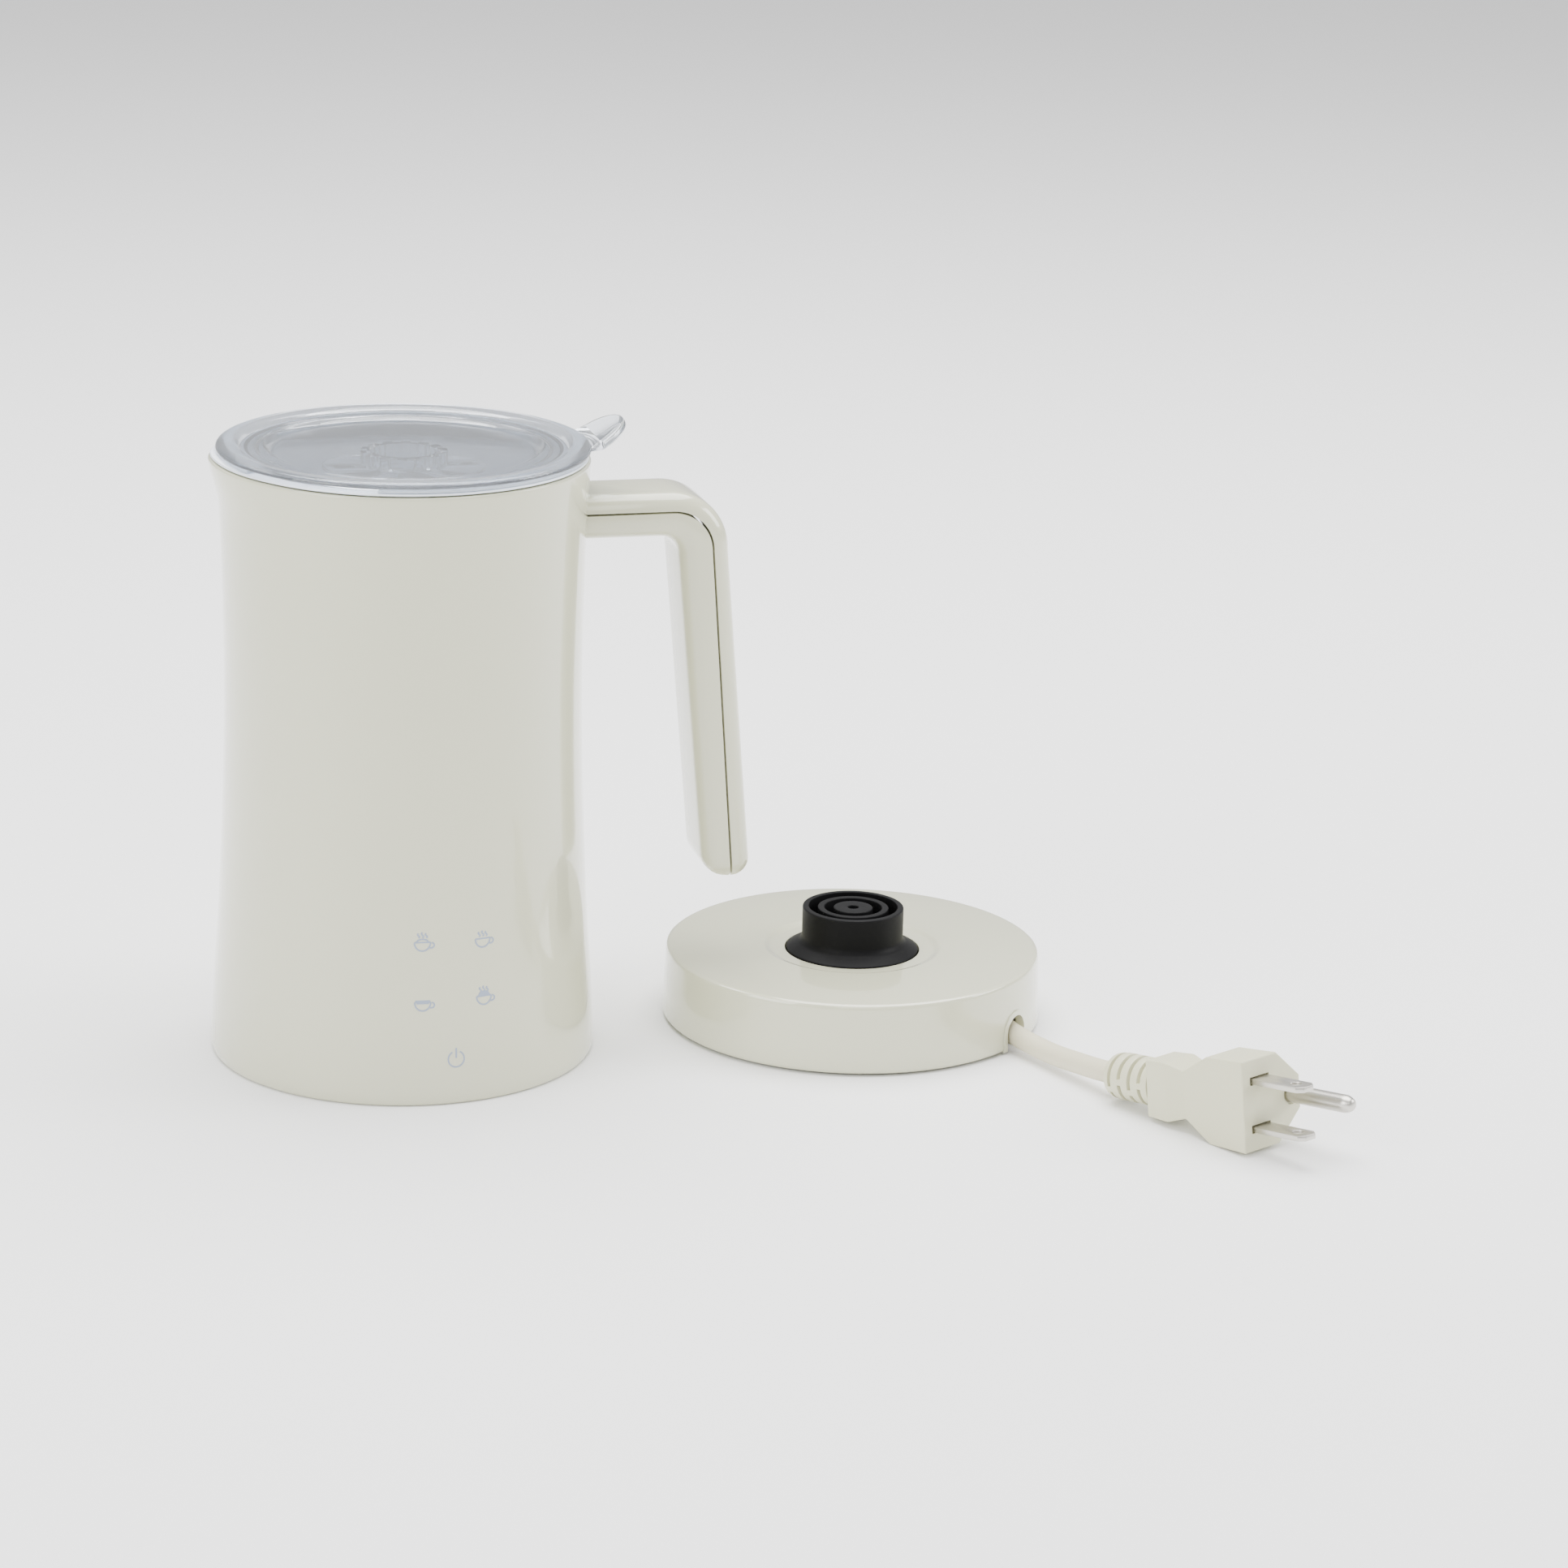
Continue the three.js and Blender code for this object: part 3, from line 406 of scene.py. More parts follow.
def makeLead():
    count = int(lead["turns"] * lead["perTurn"])
    wound = [coilPlace(lead["turns"] * i / count) for i in range(count)]
    route = [wound[-1]] + [(baseX + x, y, z) for x, y, z in leadRoute]
    free = throughPoints(route, 4)[4:]
    line = wound + free
    curve = bpy.data.curves.new("mainsLead", "CURVE")
    curve.dimensions = "3D"
    curve.bevel_depth = lead["r"] * mm
    curve.bevel_resolution = 6
    curve.use_fill_caps = True
    spline = curve.splines.new("POLY")
    spline.points.add(len(line) - 1)
    for point, place in zip(spline.points, line):
        point.co = (*(Vector(place) * mm), 1)
    spline.use_smooth = True
    piece = bpy.data.objects.new("mainsLead", curve)
    bpy.context.collection.objects.link(piece)
    length = sum((Vector(a) - Vector(b)).length for a, b in zip(line, line[1:])) * mm
    finishPiece(piece, cordCream, "power_base", ("cord_coil", "cord_lead"))
    steps = lead["reliefSteps"]
    perTurn = 2 * math.pi * coilInnerR
    sleeve = [coilPlace(lead["reliefLength"] * i / steps / perTurn) for i in range(steps + 1)]
    taper = lead["reliefTip"] - lead["reliefRoot"]
    radii = [lead["reliefRoot"] + taper * i / steps for i in range(steps + 1)]
    relief = rodPiece("leadRelief", sleeve, radii, sides=6)
    finishPiece(relief, satinCream, "power_base", ("cord_relief",))
    return piece, relief, length, tuple(Vector(line[0]) * mm)


leadPiece, reliefPiece, leadLength, leadExit = makeLead()
print("mains lead", round(leadLength, 4), "m")

# Plug, drawn with its blades along +x and its earth pin towards +y, then set down
plug = {"x": 74.96, "y": -123.03, "az": -62.35, "pitch": 7.5, "shoulderHalf": 11.65, "shoulder": -12.7}
plugZ = (plug["shoulderHalf"] * math.cos(math.radians(plug["pitch"]))
         - plug["shoulder"] * math.sin(math.radians(plug["pitch"])))
plugPlace = (Matrix.Translation(Vector((baseX + plug["x"], plug["y"], plugZ)) * mm)
             @ Matrix.Rotation(math.radians(plug["az"]), 4, "Z")
             @ Matrix.Rotation(math.radians(-plug["pitch"]), 4, "Y"))
# (along, near, cheek, far, half height, half height of the far side)
plugSections = [(0, -6.4, 6.6, 15.1, 12.15, 4.4), (-12.7, -6.2, 6.6, 13.7, 11.65, 4.4),
                (-21.6, -5.4, 4, 6, 6.4, 4), (-27.4, -6.4, 5, 6.8, 8, 6), (-34.6, -6, 5, 6.4, 7.6, 6)]
blade = {"length": 16.9, "width": 6.35, "thick": 1.5, "spacing": 12.7, "holeR": 1.5, "holeAt": 12.5,
         "slotRoom": 0.35, "slotHalf": 1.1, "buried": 5}
earth = {"r": 2.38, "length": 21.25, "offset": 11.86, "collarRoom": 0.5, "collarDeep": 1.2}
boot = {"rear": -51, "front": -34.7, "r": 6.3, "rearR": 5.7, "slots": (-48.2, -44.6, -41.0, -37.4),
        "slotWide": 1.25, "slotDeep": 2.3, "bridge": 1.5}


def ringTool(x, wide, innerR, outerR):
    bpy.ops.object.select_all(action="DESELECT")
    bpy.ops.mesh.primitive_cylinder_add(vertices=64, radius=outerR * mm, depth=wide * mm,
                                        location=(x * mm, 0, 0), rotation=(0, math.pi / 2, 0))
    tool = bpy.context.object
    bpy.ops.object.transform_apply(location=True, rotation=True, scale=True)
    bpy.ops.object.select_all(action="DESELECT")
    bpy.ops.mesh.primitive_cylinder_add(vertices=64, radius=innerR * mm, depth=wide * 3 * mm,
                                        location=(x * mm, 0, 0), rotation=(0, math.pi / 2, 0))
    core = bpy.context.object
    bpy.ops.object.transform_apply(location=True, rotation=True, scale=True)
    combine(tool, core, "DIFFERENCE")
    return tool


def boxTool(low, high):
    bpy.ops.object.select_all(action="DESELECT")
    bpy.ops.mesh.primitive_cube_add(size=1)
    tool = bpy.context.object
    size = [(b - a) * mm for a, b in zip(low, high)]
    middle = [(a + b) / 2 * mm for a, b in zip(low, high)]
    move(tool, Matrix.Translation(middle) @ Matrix.Diagonal((*size, 1)))
    return tool


def spinAlongX(name, profile, steps=64):
    piece = spinPiece(name, profile, 0, steps)
    move(piece, Matrix.Rotation(math.pi / 2, 4, "Y"))
    return piece


def makePlug():
    corners = []
    for x, near, cheek, far, half, farHalf in plugSections:
        corners += [(x, near, half), (x, cheek, half), (x, far, farHalf), (x, far, -farHalf),
                    (x, cheek, -half), (x, near, -half)]
    faces = [tuple(range(5, -1, -1)), tuple(range(len(corners) - 6, len(corners)))]
    for s in range(len(plugSections) - 1):
        for k in range(6):
            on = (k + 1) % 6
            faces.append((6 * s + k, 6 * s + on, 6 * s + 6 + on, 6 * s + 6 + k))
    mesh = bpy.data.meshes.new("plugHead")
    mesh.from_pydata([Vector(c) * mm for c in corners], [], faces)
    head = bpy.data.objects.new("plugHead", mesh)
    bpy.context.collection.objects.link(head)
    pick(head)
    bpy.ops.object.mode_set(mode="EDIT")
    tidyMesh()
    roundEdges(head, 0.4, 3, 8)
    for side in (-1, 1):
        z = side * blade["spacing"] / 2
        room, slotHalf = blade["slotRoom"], blade["slotHalf"]
        slot = boxTool((-1, -blade["width"] / 2 - room, z - slotHalf),
                       (1, blade["width"] / 2 + room, z + slotHalf))
        combine(head, slot, "DIFFERENCE")
    collar = ringTool(0, earth["collarDeep"], 0.01, earth["r"] + earth["collarRoom"])
    move(collar, Matrix.Translation((0, earth["offset"] * mm, 0)))
    combine(head, collar, "DIFFERENCE")
    move(head, plugPlace)
    finishPiece(head, satinCream, "power_base", ("plug_body",), 14)

    grip = spinAlongX("plugBoot", softCorners([(0, boot["rear"]), (boot["rearR"], boot["rear"], 1.2),
                                               (boot["r"], boot["rear"] + 3), (boot["r"], boot["front"], 0.3),
                                               (0, boot["front"])]))
    for i, x in enumerate(boot["slots"]):
        tool = ringTool(x, boot["slotWide"], boot["r"] - boot["slotDeep"], 8)
        half = boot["bridge"] / 2
        if i % 2:
            bridge = boxTool((x - 2, -9, -half), (x + 2, 9, half))
        else:
            bridge = boxTool((x - 2, -9, -half - 2.4), (x + 2, 9, half - 2.4))
        combine(tool, bridge, "DIFFERENCE")
        combine(grip, tool, "DIFFERENCE")
    roundEdges(grip, 0.18, 2, 50)
    move(grip, plugPlace)
    finishPiece(grip, satinCream, "power_base", ("plug_boot",))

    pinShape = [(0, -5), (earth["r"], -5), (earth["r"], earth["length"] - 2.2, 1),
                (earth["r"] * 0.62, earth["length"] - 0.35, 0.6), (0, earth["length"])]
    pinPiece = spinAlongX("earthPin", softCorners(pinShape))
    move(pinPiece, plugPlace @ Matrix.Translation((0, earth["offset"] * mm, 0)))
    finishPiece(pinPiece, bladeNickel, "power_base", ("earth_pin",))
    made = [head, grip, pinPiece]
    half, length = blade["width"] / 2, blade["length"]
    tip = [(-blade["buried"], -half), (length - 1.7, -half), (length, -half + 1.4), (length, half - 1.4),
           (length - 1.7, half), (-blade["buried"], half)]
    for name, side in (("upper", 1), ("lower", -1)):
        piece = slabPiece(name + "Blade", tip, blade["thick"] / 2)
        move(piece, Matrix.Rotation(-math.pi / 2, 4, "X"))
        punch = [(0, -3), (blade["holeR"], -3), (blade["holeR"], 3), (0, 3)]
        hole = spinPiece("hole", punch, blade["holeAt"], 32)
        combine(piece, hole, "DIFFERENCE")
        roundEdges(piece, 0.22, 2, 40)
        move(piece, plugPlace @ Matrix.Translation((0, 0, side * blade["spacing"] / 2 * mm)))
        finishPiece(piece, bladeNickel, "power_base", (name + "_blade",))
        made.append(piece)
    return made


plugPieces = makePlug()
print("plug made")

# Jug body: waisted gloss wall with a small pouring lip
jug = {"wall": 2.3, "rimZ": 161.7, "steps": 192}
wallLine = [(51.4, 2.4), (50.5, 20), (48.9, 45), (47.5, 80), (47.15, 108), (47.7, 138), (48.8, 161.7)]
spout = {"reach": 2.2, "rise": 0.7, "fromZ": 147, "halfAngle": 38}
wallPoints = [(x, z) for x, _, z in throughPoints([(r, 0, z) for r, z in wallLine], 10)]


def wallRadius(z):
    for (r0, z0), (r1, z1) in zip(wallPoints, wallPoints[1:]):
        if z0 <= z <= z1:
            return r0 + (r1 - r0) * (z - z0) / (z1 - z0)
    return wallPoints[0][0] if z < wallPoints[0][1] else wallPoints[-1][0]


def pullSpout(piece):
    for vertex in piece.data.vertices:
        x, y, z = vertex.co.x / mm - jugX, vertex.co.y / mm, vertex.co.z / mm
        away = abs(math.atan2(y, -x)) / math.radians(spout["halfAngle"])
        if z < spout["fromZ"] or away > 1:
            continue
        lift = smoothStep((z - spout["fromZ"]) / (jug["rimZ"] - spout["fromZ"])) ** 1.5
        pull = lift * (0.5 + 0.5 * math.cos(math.pi * away))
        grow = 1 + spout["reach"] * pull / math.hypot(x, y)
        vertex.co = Vector((jugX + x * grow, y * grow, z + spout["rise"] * pull ** 2)) * mm
    piece.data.update()


def makeJugBody():
    outer = [(r, z) for r, z in wallPoints[:-1]]
    rim = [(48.8, 161.7, 0.8), (48.8 - jug["wall"], 161.7, 0.6)]
    inner = [(r - jug["wall"], z) for r, z in reversed(wallPoints[:-1:3])]
    foot = [(49.1, 0.6, 0.2), (49.5, 0, 0.2), (50.3, 0, 0.4), (51.0, 0.5, 0.5)]
    body = spinPiece("jugBody", softCorners(foot + outer + rim + inner), jugX, jug["steps"])
    pullSpout(body)
    finishPiece(body, glossCream, "jug", ("outer_shell",), 40)

    shape = [(0, 50), (33.6, 50), (37.8, 50.9), (41, 54), (42.4, 57.6), (42.6, 62), (42.6, 100), (42.6, 146),
             (42.6, 150), (42.6, 153), (42.6, 156, 1), (43.4, 160.9, 0.6), (44.6, 162.7, 0.5),
             (48.2, 162.7, 0.3), (48.2, 162.0, 0.3), (45.2, 162.0), (44.4, 160.4), (43.6, 155.5), (43.6, 150),
             (43.6, 62), (42, 53.6), (38.2, 50), (33.6, 49), (0, 49)]
    vessel = spinPiece("milkVessel", softCorners(shape), jugX, jug["steps"])
    pullSpout(vessel)
    finishPiece(vessel, linerSteel, "jug", ("inner_liner",), 40)


makeJugBody()
print("jug body made")

# Printed marks on the front: cups with steam, and a power sign (mm on the wall, from each centre)
icon = {"line": 0.24, "rise": 0.3, "lift": 0.015, "cups": [(-94, 44, "dome"), (-75, 43.7, "open"),
        (-94, 28, "rim"), (-75, 28.3, "foam")], "power": (-84.4, 12.5), "powerR": 2.15}


def bow(cx, cy, rx, ry, start, end, count=14):
    return [(cx + rx * math.cos(math.radians(start + (end - start) * i / count)),
             cy + ry * math.sin(math.radians(start + (end - start) * i / count))) for i in range(count + 1)]


def steam(x, low, high):
    return [(x + 0.28 * math.sin(6.3 * i / 8), low + (high - low) * i / 8) for i in range(9)]


def cupStrokes(kind):
    strokes = [bow(-0.3, 0.3, 2.1, 2.3, 180, 360), [(-2.4, 0.3), (1.8, 0.3)],
               bow(1.9, -0.5, 0.85, 0.75, 75, -110, 10)]
    if kind == "dome":
        strokes += [bow(-0.3, 0.35, 1.5, 0.8, 180, 0)]
    if kind == "rim":
        strokes += [[(-2.2, 0.62), (1.6, 0.62)], [(-1.9, 0.0), (1.3, 0.0)]]
    if kind == "foam":
        strokes += [bow(-0.3, 0.35, 1.5 - 0.3 * k, 1.2 - 0.3 * k, 180, 0) for k in range(4)]
    if kind != "rim":
        low = 1.5 if kind != "open" else 0.9
        strokes += [steam(x, low, low + 1.5 - abs(x + 0.3) * 0.3) for x in (-1.3, -0.3, 0.7)]
    return strokes


def printMark(name, strokes, azimuth, height):
    lines = [rodPiece("stroke", [(u, 0, v) for u, v in stroke], icon["line"], sides=1) for stroke in strokes]
    for line in lines:
        line.select_set(True)
    bpy.context.view_layer.objects.active = lines[0]
    bpy.ops.object.join()
    mark = bpy.context.object
    mark.name = name
    for vertex in mark.data.vertices:
        u, w, v = (c / mm for c in vertex.co)
        r = wallRadius(height + v) + icon["lift"] - w * icon["rise"]
        a = math.radians(azimuth) + u / wallRadius(height)
        vertex.co = Vector((jugX + r * math.cos(a), r * math.sin(a), height + v)) * mm
    finishPiece(mark, iconBlue, "jug")


for count, (azimuth, height, kind) in enumerate(icon["cups"], 1):
    printMark("drinkMark" + str(count), cupStrokes(kind), azimuth, height)
printMark("powerMark", [bow(0, 0, icon["powerR"], icon["powerR"], 118, 422, 30), [(0, 0.3), (0, 3.0)]],
          *icon["power"])
print("marks printed")

# Handle: arm and grip in one rounded bar, parted by a fine seam near its outer face
handle = {"half": 11.7, "armTop": 151.5, "armUnder": 139.6, "gripTopX": 72, "gripBottomX": 79.6, "deep": 13.6,
          "bottomZ": 44.6, "cornerR": 15.7, "innerR": 5, "strip": 4.5, "seam": 0.58, "seamEdge": 0.06,
          "rootX": 38, "rootR": 47.75, "edge": 4.4, "toeR": 7.4, "heelR": 5.0}


# the outer face of the arm and grip, moved inwards by `inset` and run on past both ends by `over`
def handleLine(inset, over=0.0):
    outerX = handle["gripTopX"] + handle["deep"] - inset
    top = handle["armTop"] - inset
    r = handle["cornerR"] - inset
    bend = [(outerX - r + r * math.cos(math.radians(a)), top - r + r * math.sin(math.radians(a)))
            for a in range(90, -1, -5)]
    lower = (handle["gripBottomX"] + handle["deep"] - inset, handle["bottomZ"] - over)
    return [(handle["rootX"] - over, top), *bend, lower]


def handleTool(name, fromLine, toLine):
    return slabPiece(name, [(jugX + x, z) for x, z in fromLine + toLine[::-1]], handle["half"] + 4)


# an arc about (x, z), from one angle to another in degrees
def quarter(x, z, r, start, end):
    return [(x + r * math.cos(math.radians(start + (end - start) * i / 8)),
             z + r * math.sin(math.radians(start + (end - start) * i / 8))) for i in range(9)]


def makeHandle():
    toe, heel, bend = handle["toeR"], handle["heelR"], handle["innerR"]
    under = handle["bottomZ"]
    outer = handleLine(0)[:-1]
    outer += quarter(handle["gripBottomX"] + handle["deep"] - heel, under + heel, heel, 0, -90)
    inner = quarter(handle["gripBottomX"] + toe, under + toe, toe, -90, -180)
    inner += quarter(handle["gripTopX"] - bend, handle["armUnder"] - bend, bend, 0, 90)
    inner += [(handle["rootX"], handle["armUnder"])]
    whole = slabPiece("handleGrip", [(jugX + x, z) for x, z in outer + inner], handle["half"])
    roundEdges(whole, handle["edge"], 8, 38)
    core = spinPiece("core", [(0, 100), (handle["rootR"], 100), (handle["rootR"], 170), (0, 170)], jugX, 128)
    combine(whole, core, "DIFFERENCE")
    strip = whole.copy()
    strip.data = whole.data.copy()
    strip.name = "handleStrip"
    bpy.context.collection.objects.link(strip)
    combine(strip, handleTool("stripTool", handleLine(handle["strip"], 8), handleLine(-6, 6)), "INTERSECT")
    seam = handle["strip"] + handle["seam"]
    combine(whole, handleTool("gripTool", handleLine(seam, 8), [(30, 20), (90, 20)]), "INTERSECT")
    for piece in (whole, strip):
        roundEdges(piece, handle["seamEdge"], 2, 60)
    finishPiece(whole, glossCream, "jug", ("handle_body",), 30)
    finishPiece(strip, glossCream, "jug", ("handle_strip",), 30)


makeHandle()
print("handle made")

# Clear lid: rolled edge, sunk plate, ribbed hub under it and the lifting tab
lid = {"ribs": 14, "ribHalf": 1.3, "ribFrom": 9.0, "ribTop": 162.5, "hubR": 11.4, "hubZ": 156.6}
tab = {"tilt": 31, "reach": 57.8, "half": 10.5, "thick": 2.8, "rootX": 46, "topZ": 163.86, "edge": 1.1,
       "trimR": 47.4, "trimZ": 163.97}
gasket = {"spoutHalf": 24}
stirrer = {"slots": 6, "discDrop": 1.6, "hubDrop": 3.4}


# the lifting tab, trimmed to stand on the lid's edge
def makeTab():
    tilt = math.radians(tab["tilt"])
    half, halfThick = tab["half"], tab["thick"] / 2
    length = (tab["reach"] - tab["rootX"]) / math.cos(tilt)
    tip = [(length - half + half * math.cos(math.radians(a)), half * math.sin(math.radians(a)))
           for a in range(-66, 67, 6)]
    flare = [(0, -12.5), (1.6, -11.7), (3.6, -10.8), (5.6, -10.1)]
    outline = flare + tip + [(x, -y) for x, y in reversed(flare)]
    piece = slabPiece("tab", outline, halfThick)
    move(piece, Matrix.Rotation(-math.pi / 2, 4, "X"))
    roundEdges(piece, tab["edge"], 5, 40)
    middle = Vector((tab["rootX"] + halfThick * math.sin(tilt), 0, tab["topZ"] - halfThick * math.cos(tilt)))
    move(piece, Matrix.Translation((jugX * mm, 0, 0)) @ Matrix.Translation(middle * mm)
         @ Matrix.Rotation(-tilt, 4, "Y"))
    core = spinPiece("core", [(0, 150), (tab["trimR"], 150), (tab["trimR"], 180), (0, 180)], jugX, 96)
    combine(piece, core, "DIFFERENCE")
    combine(piece, boxTool((jugX + 40, -20, 150), (jugX + 80, 20, tab["trimZ"])), "DIFFERENCE")
    return piece


def makeLid():
    shape = [(0, 163.4), (34.3, 163.4, 0.8), (36.3, 164.4, 0.8), (42.0, 164.4, 0.8), (44.0, 165.35, 1.4),
             (46.4, 165.8, 1.6), (48.4, 165.2, 1.2), (48.9, 164.6, 0.5), (48.9, 163.95, 0.3),
             (41.4, 163.65, 0.3), (40.9, 161, 0.4), (38.6, 161, 0.4), (38.0, 161.9, 0.4), (0, 161.9)]
    panel = spinPiece("lidPanel", softCorners(shape), jugX, 160)
    hub = spinPiece("lidHub", [(8.4, 157.4), (9.8, 157.4), (9.8, 162.4), (8.4, 162.4)], jugX, 72)
    for k in range(lid["ribs"]):
        rib = boxTool((lid["ribFrom"], -lid["ribHalf"], lid["hubZ"]),
                      (lid["hubR"], lid["ribHalf"], lid["ribTop"]))
        move(rib, about(jugX, 2 * math.pi * k / lid["ribs"]))
        combine(hub, rib, "UNION")
    combine(panel, hub, "UNION")
    combine(panel, makeTab(), "UNION")
    finishPiece(panel, clearLid, "lid", ("lid_panel",), 30)

    band = softCorners([(41.3, 157.5, 0.3), (42.3, 158.3, 0.3), (42.3, 162.85), (48.2, 162.85, 0.2),
                        (48.2, 163.5, 0.3), (41.3, 163.3, 0.2)], 3)
    openHalf = gasket["spoutHalf"]
    seal = spinPiece("lidGasket", band, jugX, 140, 180 + openHalf, 360 - 2 * openHalf)
    finishPiece(seal, softSeal, "lid", ("lid_gasket",), 35)

    top = lid["hubZ"] - 0.1
    hubUnder, discUnder = top - stirrer["hubDrop"], top - stirrer["discDrop"]
    discShape = [(0, hubUnder), (5, hubUnder, 0.5), (5.4, discUnder, 0.3), (22, discUnder, 0.5), (22, top, 0.5),
                 (0, top)]
    disc = spinPiece("storedStirrer", softCorners(discShape), jugX, 96)
    for k in range(stirrer["slots"]):
        slot = boxTool((9, -2, 140), (19, 2, 170))
        move(slot, about(jugX, math.radians(60 * k)))
        combine(disc, slot, "DIFFERENCE")
    roundEdges(disc, 0.3, 2, 50)
    finishPiece(disc, clearLid, "lid", ("spare_whisk",))


makeLid()
print("lid made")

# Frothing whisk: hub, carrier disc and the wire spring wound round its edge
whisk = {"discR": 14.5, "discZ": 53.2, "thick": 1.4, "hubR": 5.4, "topZ": 65, "boreR": 1.6, "wireR": 0.38,
         "loopR": 2.0, "ringR": 17.2, "loops": 64, "perLoop": 12, "windows": 4, "boreTopZ": 63.4}


def makeWhisk():
    z = whisk["discZ"]
    shape = [(whisk["boreR"], z - 1.6), (whisk["hubR"], z - 1.6, 0.4), (whisk["hubR"] + 1, z, 0.8),
             (whisk["discR"], z, 0.4), (whisk["discR"], z + whisk["thick"], 0.4),
             (whisk["hubR"], z + 2.2, 1.2), (whisk["hubR"] - 1, whisk["topZ"], 1.0), (0, whisk["topZ"]),
             (0, whisk["boreTopZ"]), (whisk["boreR"], whisk["boreTopZ"])]
    hub = spinPiece("whiskHub", softCorners(shape), jugX, 96)
    for k in range(whisk["windows"]):
        window = boxTool((8, -1.6, 50), (12.5, 1.6, 58))
        move(window, about(jugX, math.radians(90 * k + 45)))
        combine(hub, window, "DIFFERENCE")
    finishPiece(hub, towerBlack, "whisk", ("whisk_body",))
    wire = []
    for i in range(whisk["loops"] * whisk["perLoop"]):
        along = 2 * math.pi * i / (whisk["loops"] * whisk["perLoop"])
        inLoop = 2 * math.pi * i / whisk["perLoop"]
        r = whisk["ringR"] + whisk["loopR"] * math.cos(inLoop)
        wire.append((jugX + r * math.cos(along), r * math.sin(along),
                     z + whisk["thick"] / 2 + whisk["loopR"] * math.sin(inLoop)))
    spring = rodPiece("whiskSpring", wire, whisk["wireR"], True, 1)
    finishPiece(spring, springSteel, "whisk", ("whisk_spring",), 60)


makeWhisk()
print("whisk made")

# Powered base: drafted gloss cover with a shallow dish and a raised lip round the notch
base = {"steps": 192, "notchAz": -45.7, "notchHalf": 4.65, "notchTop": 9.7, "lip": 1.4, "lipRise": 0.42}


# the arch of the notch, grown outwards by `extra`, as a solid along the lead from x0 to x1
def notchTool(extra, x0, x1):
    half = base["notchHalf"] + extra
    middle = base["notchTop"] + extra - half
    arch = [(half * math.cos(math.radians(a)), middle + half * math.sin(math.radians(a)))
            for a in range(0, 181, 10)]
    outline = [(half, -3)] + arch + [(-half, -3)]
    tool = slabPiece("notchTool", outline, (x1 - x0) / 2)
    spot = Vector(((x0 + x1) / 2 * mm, 0, 0))
    move(tool, Matrix.Translation((baseX * mm, 0, 0)) @ Matrix.Rotation(math.radians(base["notchAz"]), 4, "Z")
         @ Matrix.Translation(spot) @ Matrix.Rotation(math.pi / 2, 4, "Z"))
    return tool


def makeBase():
    shape = [(49.8, 0.8, 0.2), (51.5, 0.8, 0.3), (52, 1.5, 0.5), (51.3, 18.4), (51.22, 19.0), (50.95, 19.5),
             (50.4, 19.8), (49.8, 19.9), (24.2, 19.9, 0.5), (22.4, 19.1, 0.7), (18.5, 19.1, 0.2),
             (18.5, 17.4), (24, 17.4), (26, 17.7), (49.1, 17.7)]
    cover = spinPiece("baseCover", softCorners(shape), baseX, base["steps"])
    lip = notchTool(base["lip"], 46, 60)
    ringShape = [(50.2, 0.8), (52 + base["lipRise"], 0.8), (51.4 + base["lipRise"], 16), (50.2, 16)]
    lipRing = spinPiece("lipRing", ringShape, baseX, base["steps"])
    combine(lipRing, lip, "INTERSECT")
    roundEdges(lipRing, 0.3, 3, 50)
    combine(cover, lipRing, "UNION")
    combine(cover, notchTool(0, 30, 60), "DIFFERENCE")
    finishPiece(cover, glossCream, "power_base", ("base_cover",), 30)

    tower = [(0, 15.7), (20, 15.7), (20, 16.7), (18.1, 16.7), (18.1, 19.3, 0.3), (14.6, 21.2, 0.8),
             (13.9, 22.4, 0.6), (13.9, 31.1, 0.5), (12.2, 31.1, 0.25), (12.2, 19.6), (9.73, 19.6),
             (9.73, 30.8, 0.3), (7.88, 30.8, 0.3), (7.88, 19.6), (5.4, 19.6), (5.4, 30.8, 0.4),
             (1.5, 30.8, 0.3), (1.5, 19.6), (0, 19.6)]
    post = spinPiece("contactTower", softCorners(tower), baseX, 128)
    finishPiece(post, towerBlack, "power_base", ("contact_tower",), 35)
    for name, outer, inner, node in (("outerContact", 12.0, 9.93, "outer_contact"),
                                     ("innerContact", 7.68, 5.6, "inner_contact")):
        spring = spinPiece(name, softCorners([(inner, 19.65), (outer, 19.65), (outer, 21.25, 0.4),
                                              (inner, 21.25, 0.4)]), baseX, 72)
        finishPiece(spring, contactBrass, "power_base", (node,))


makeBase()
print("base made")

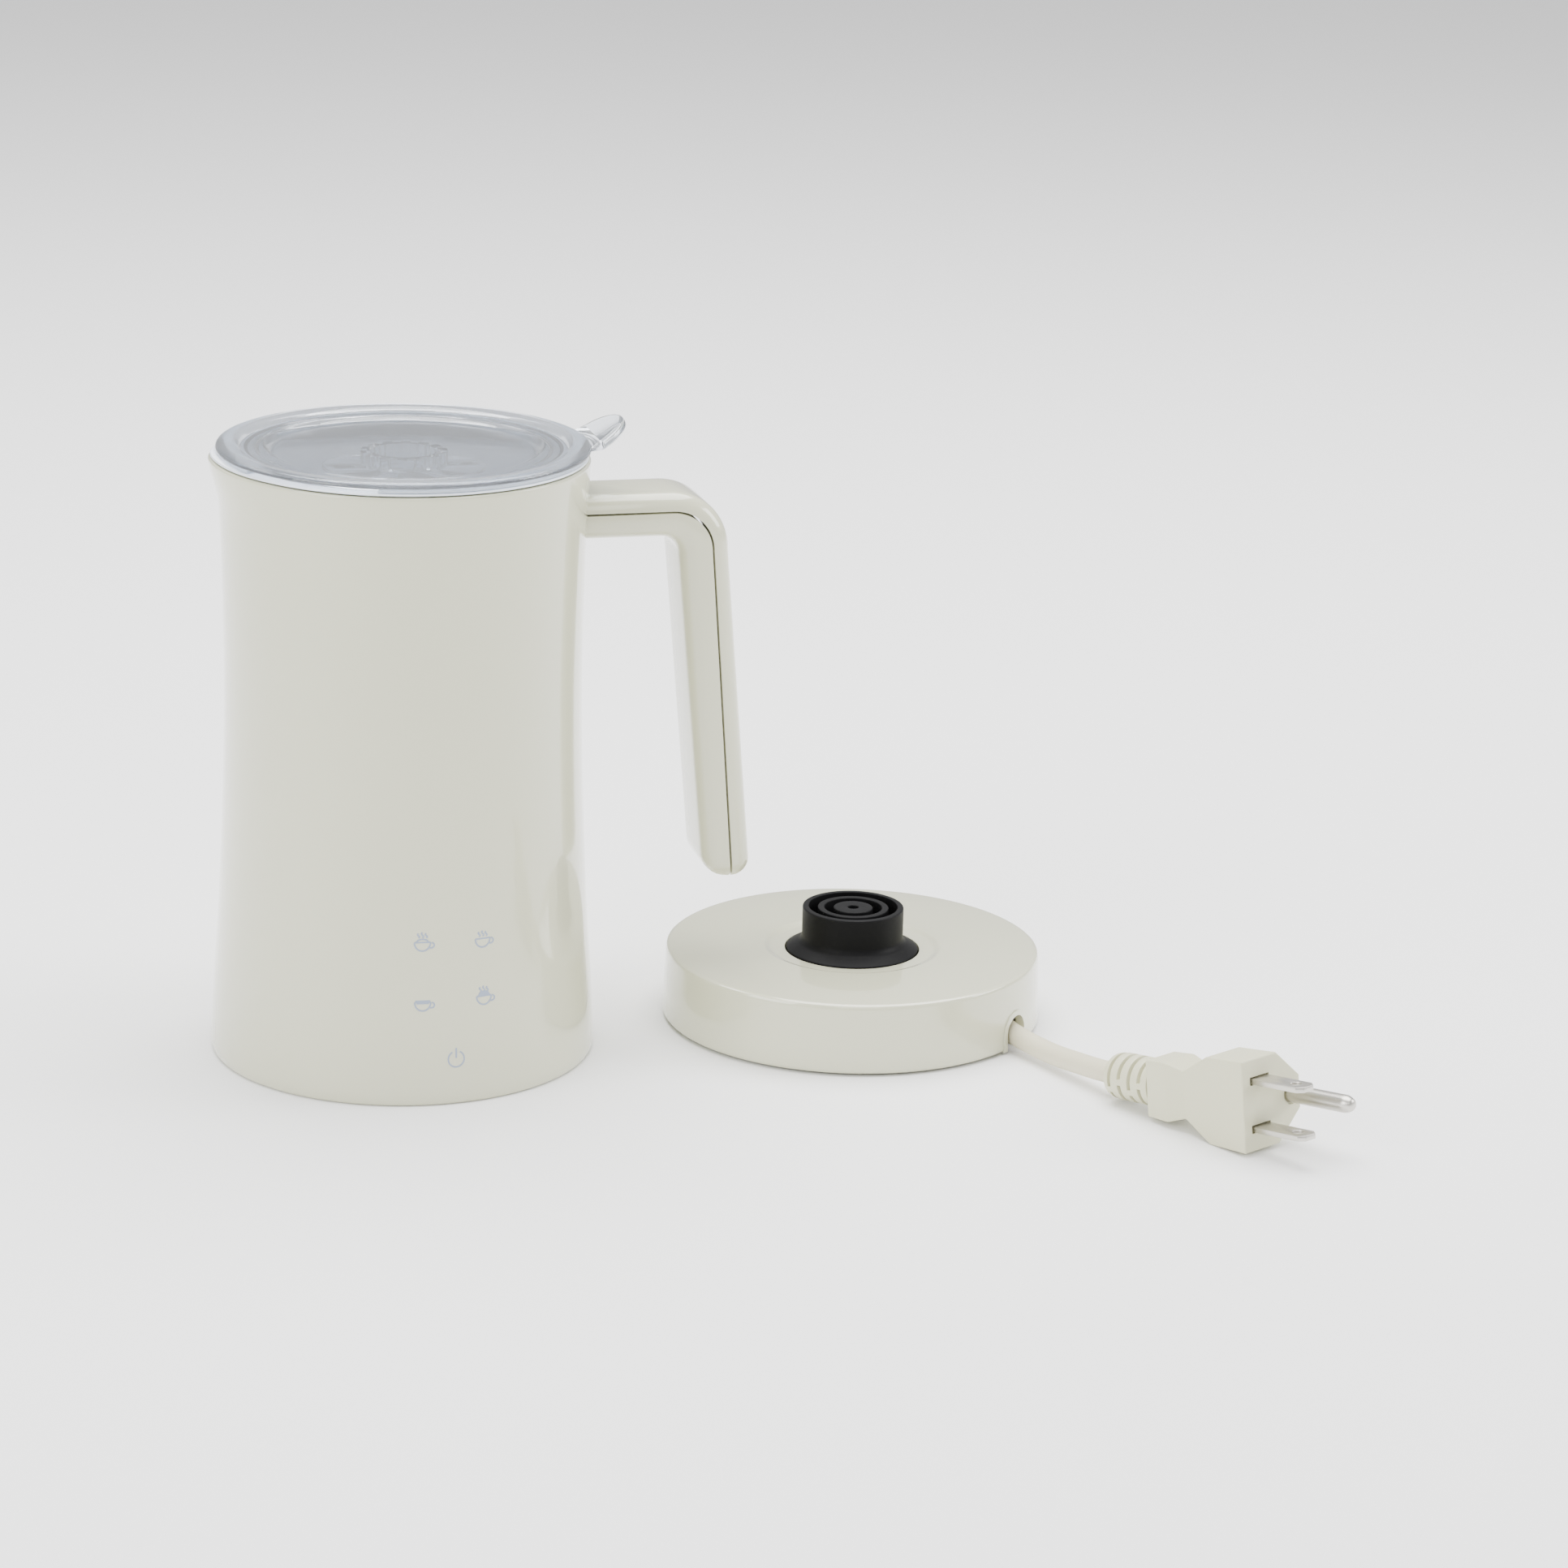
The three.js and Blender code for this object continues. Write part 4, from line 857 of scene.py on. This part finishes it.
# Parts kept as the solid model has them, each with its own finish
kept = [
    (satinCream, ("bottom_cover", "inner_frame")),
    (hiddenCream, ("base_plate", "lead_anchor", "terminal_block")),
    (towerBlack, ("jug_socket", "relay", "temperature_sensor", "magnet_carrier")),
    (plainSteel, ("whisk_spindle", "motor_can", "motor_shaft", "capacitor", "heater_ring", "handle_bolt_1",
                  "handle_bolt_2", "cover_screw_1", "cover_screw_2", "cover_screw_3", "base_screw_1",
                  "base_screw_2", "base_screw_3")),
    (castAluminium, ("heater_plate",)),
    (contactBrass, ("centre_contact", "socket_pin")),
    (footRubber, ("foot_1", "foot_2", "foot_3", "foot_4", "touch_pad_1", "touch_pad_2", "touch_pad_3",
                  "touch_pad_4", "touch_pad_5")),
    (sealGrey, ("liner_seal",)),
    (boardGreen, ("control_board", "touch_board")),
    (magnetGrey, ("drive_magnet_1", "drive_magnet_2")),
]
for finish, names in kept:
    for name in names:
        for materialSlot in nodes[name].material_slots:
            materialSlot.material = finish
print("kept parts finished")

# Pale table, soft light from above and both sides
studio = {"floor": (0.93, 0.93, 0.93), "world": (1.0, 1.0, 1.0), "worldStrength": 0.85}
lights = [
    ("overhead", (0.1, 0.25, 1.3), (0.02, 0.0, 0.02), 1.3, 48),
    ("leftWindow", (-1.5, -0.7, 0.8), (0, 0, 0.08), 1.0, 24),
    ("rightWindow", (1.4, -0.3, 0.7), (0, 0, 0.06), 0.7, 16),
    ("frontFill", (-0.3, -1.9, 1.3), (0, 0, 0.06), 1.0, 8),
]


def makeStudio():
    bpy.ops.object.select_all(action="DESELECT")
    bpy.ops.mesh.primitive_plane_add(size=8, location=(0, 0, 0))
    floor = bpy.context.object
    floor.name = "table"
    paint = bpy.data.materials.new("palePaper")
    paint.use_nodes = True
    shader = paint.node_tree.nodes["Principled BSDF"]
    shader.inputs["Base Color"].default_value = (*studio["floor"], 1)
    shader.inputs["Roughness"].default_value = 0.65
    shader.inputs["Specular IOR Level"].default_value = 0.2
    floor.data.materials.append(paint)
    world = bpy.data.worlds.new("softRoom")
    world.use_nodes = True
    world.node_tree.nodes["Background"].inputs["Color"].default_value = (*studio["world"], 1)
    world.node_tree.nodes["Background"].inputs["Strength"].default_value = studio["worldStrength"]
    bpy.context.scene.world = world
    for name, place, aim, size, power in lights:
        lamp = bpy.data.lights.new(name, "AREA")
        lamp.size = size
        lamp.energy = power
        holder = bpy.data.objects.new(name, lamp)
        holder.location = place
        holder.rotation_euler = (Vector(aim) - Vector(place)).to_track_quat("-Z", "Y").to_euler()
        bpy.context.collection.objects.link(holder)


makeStudio()
print("studio lit")
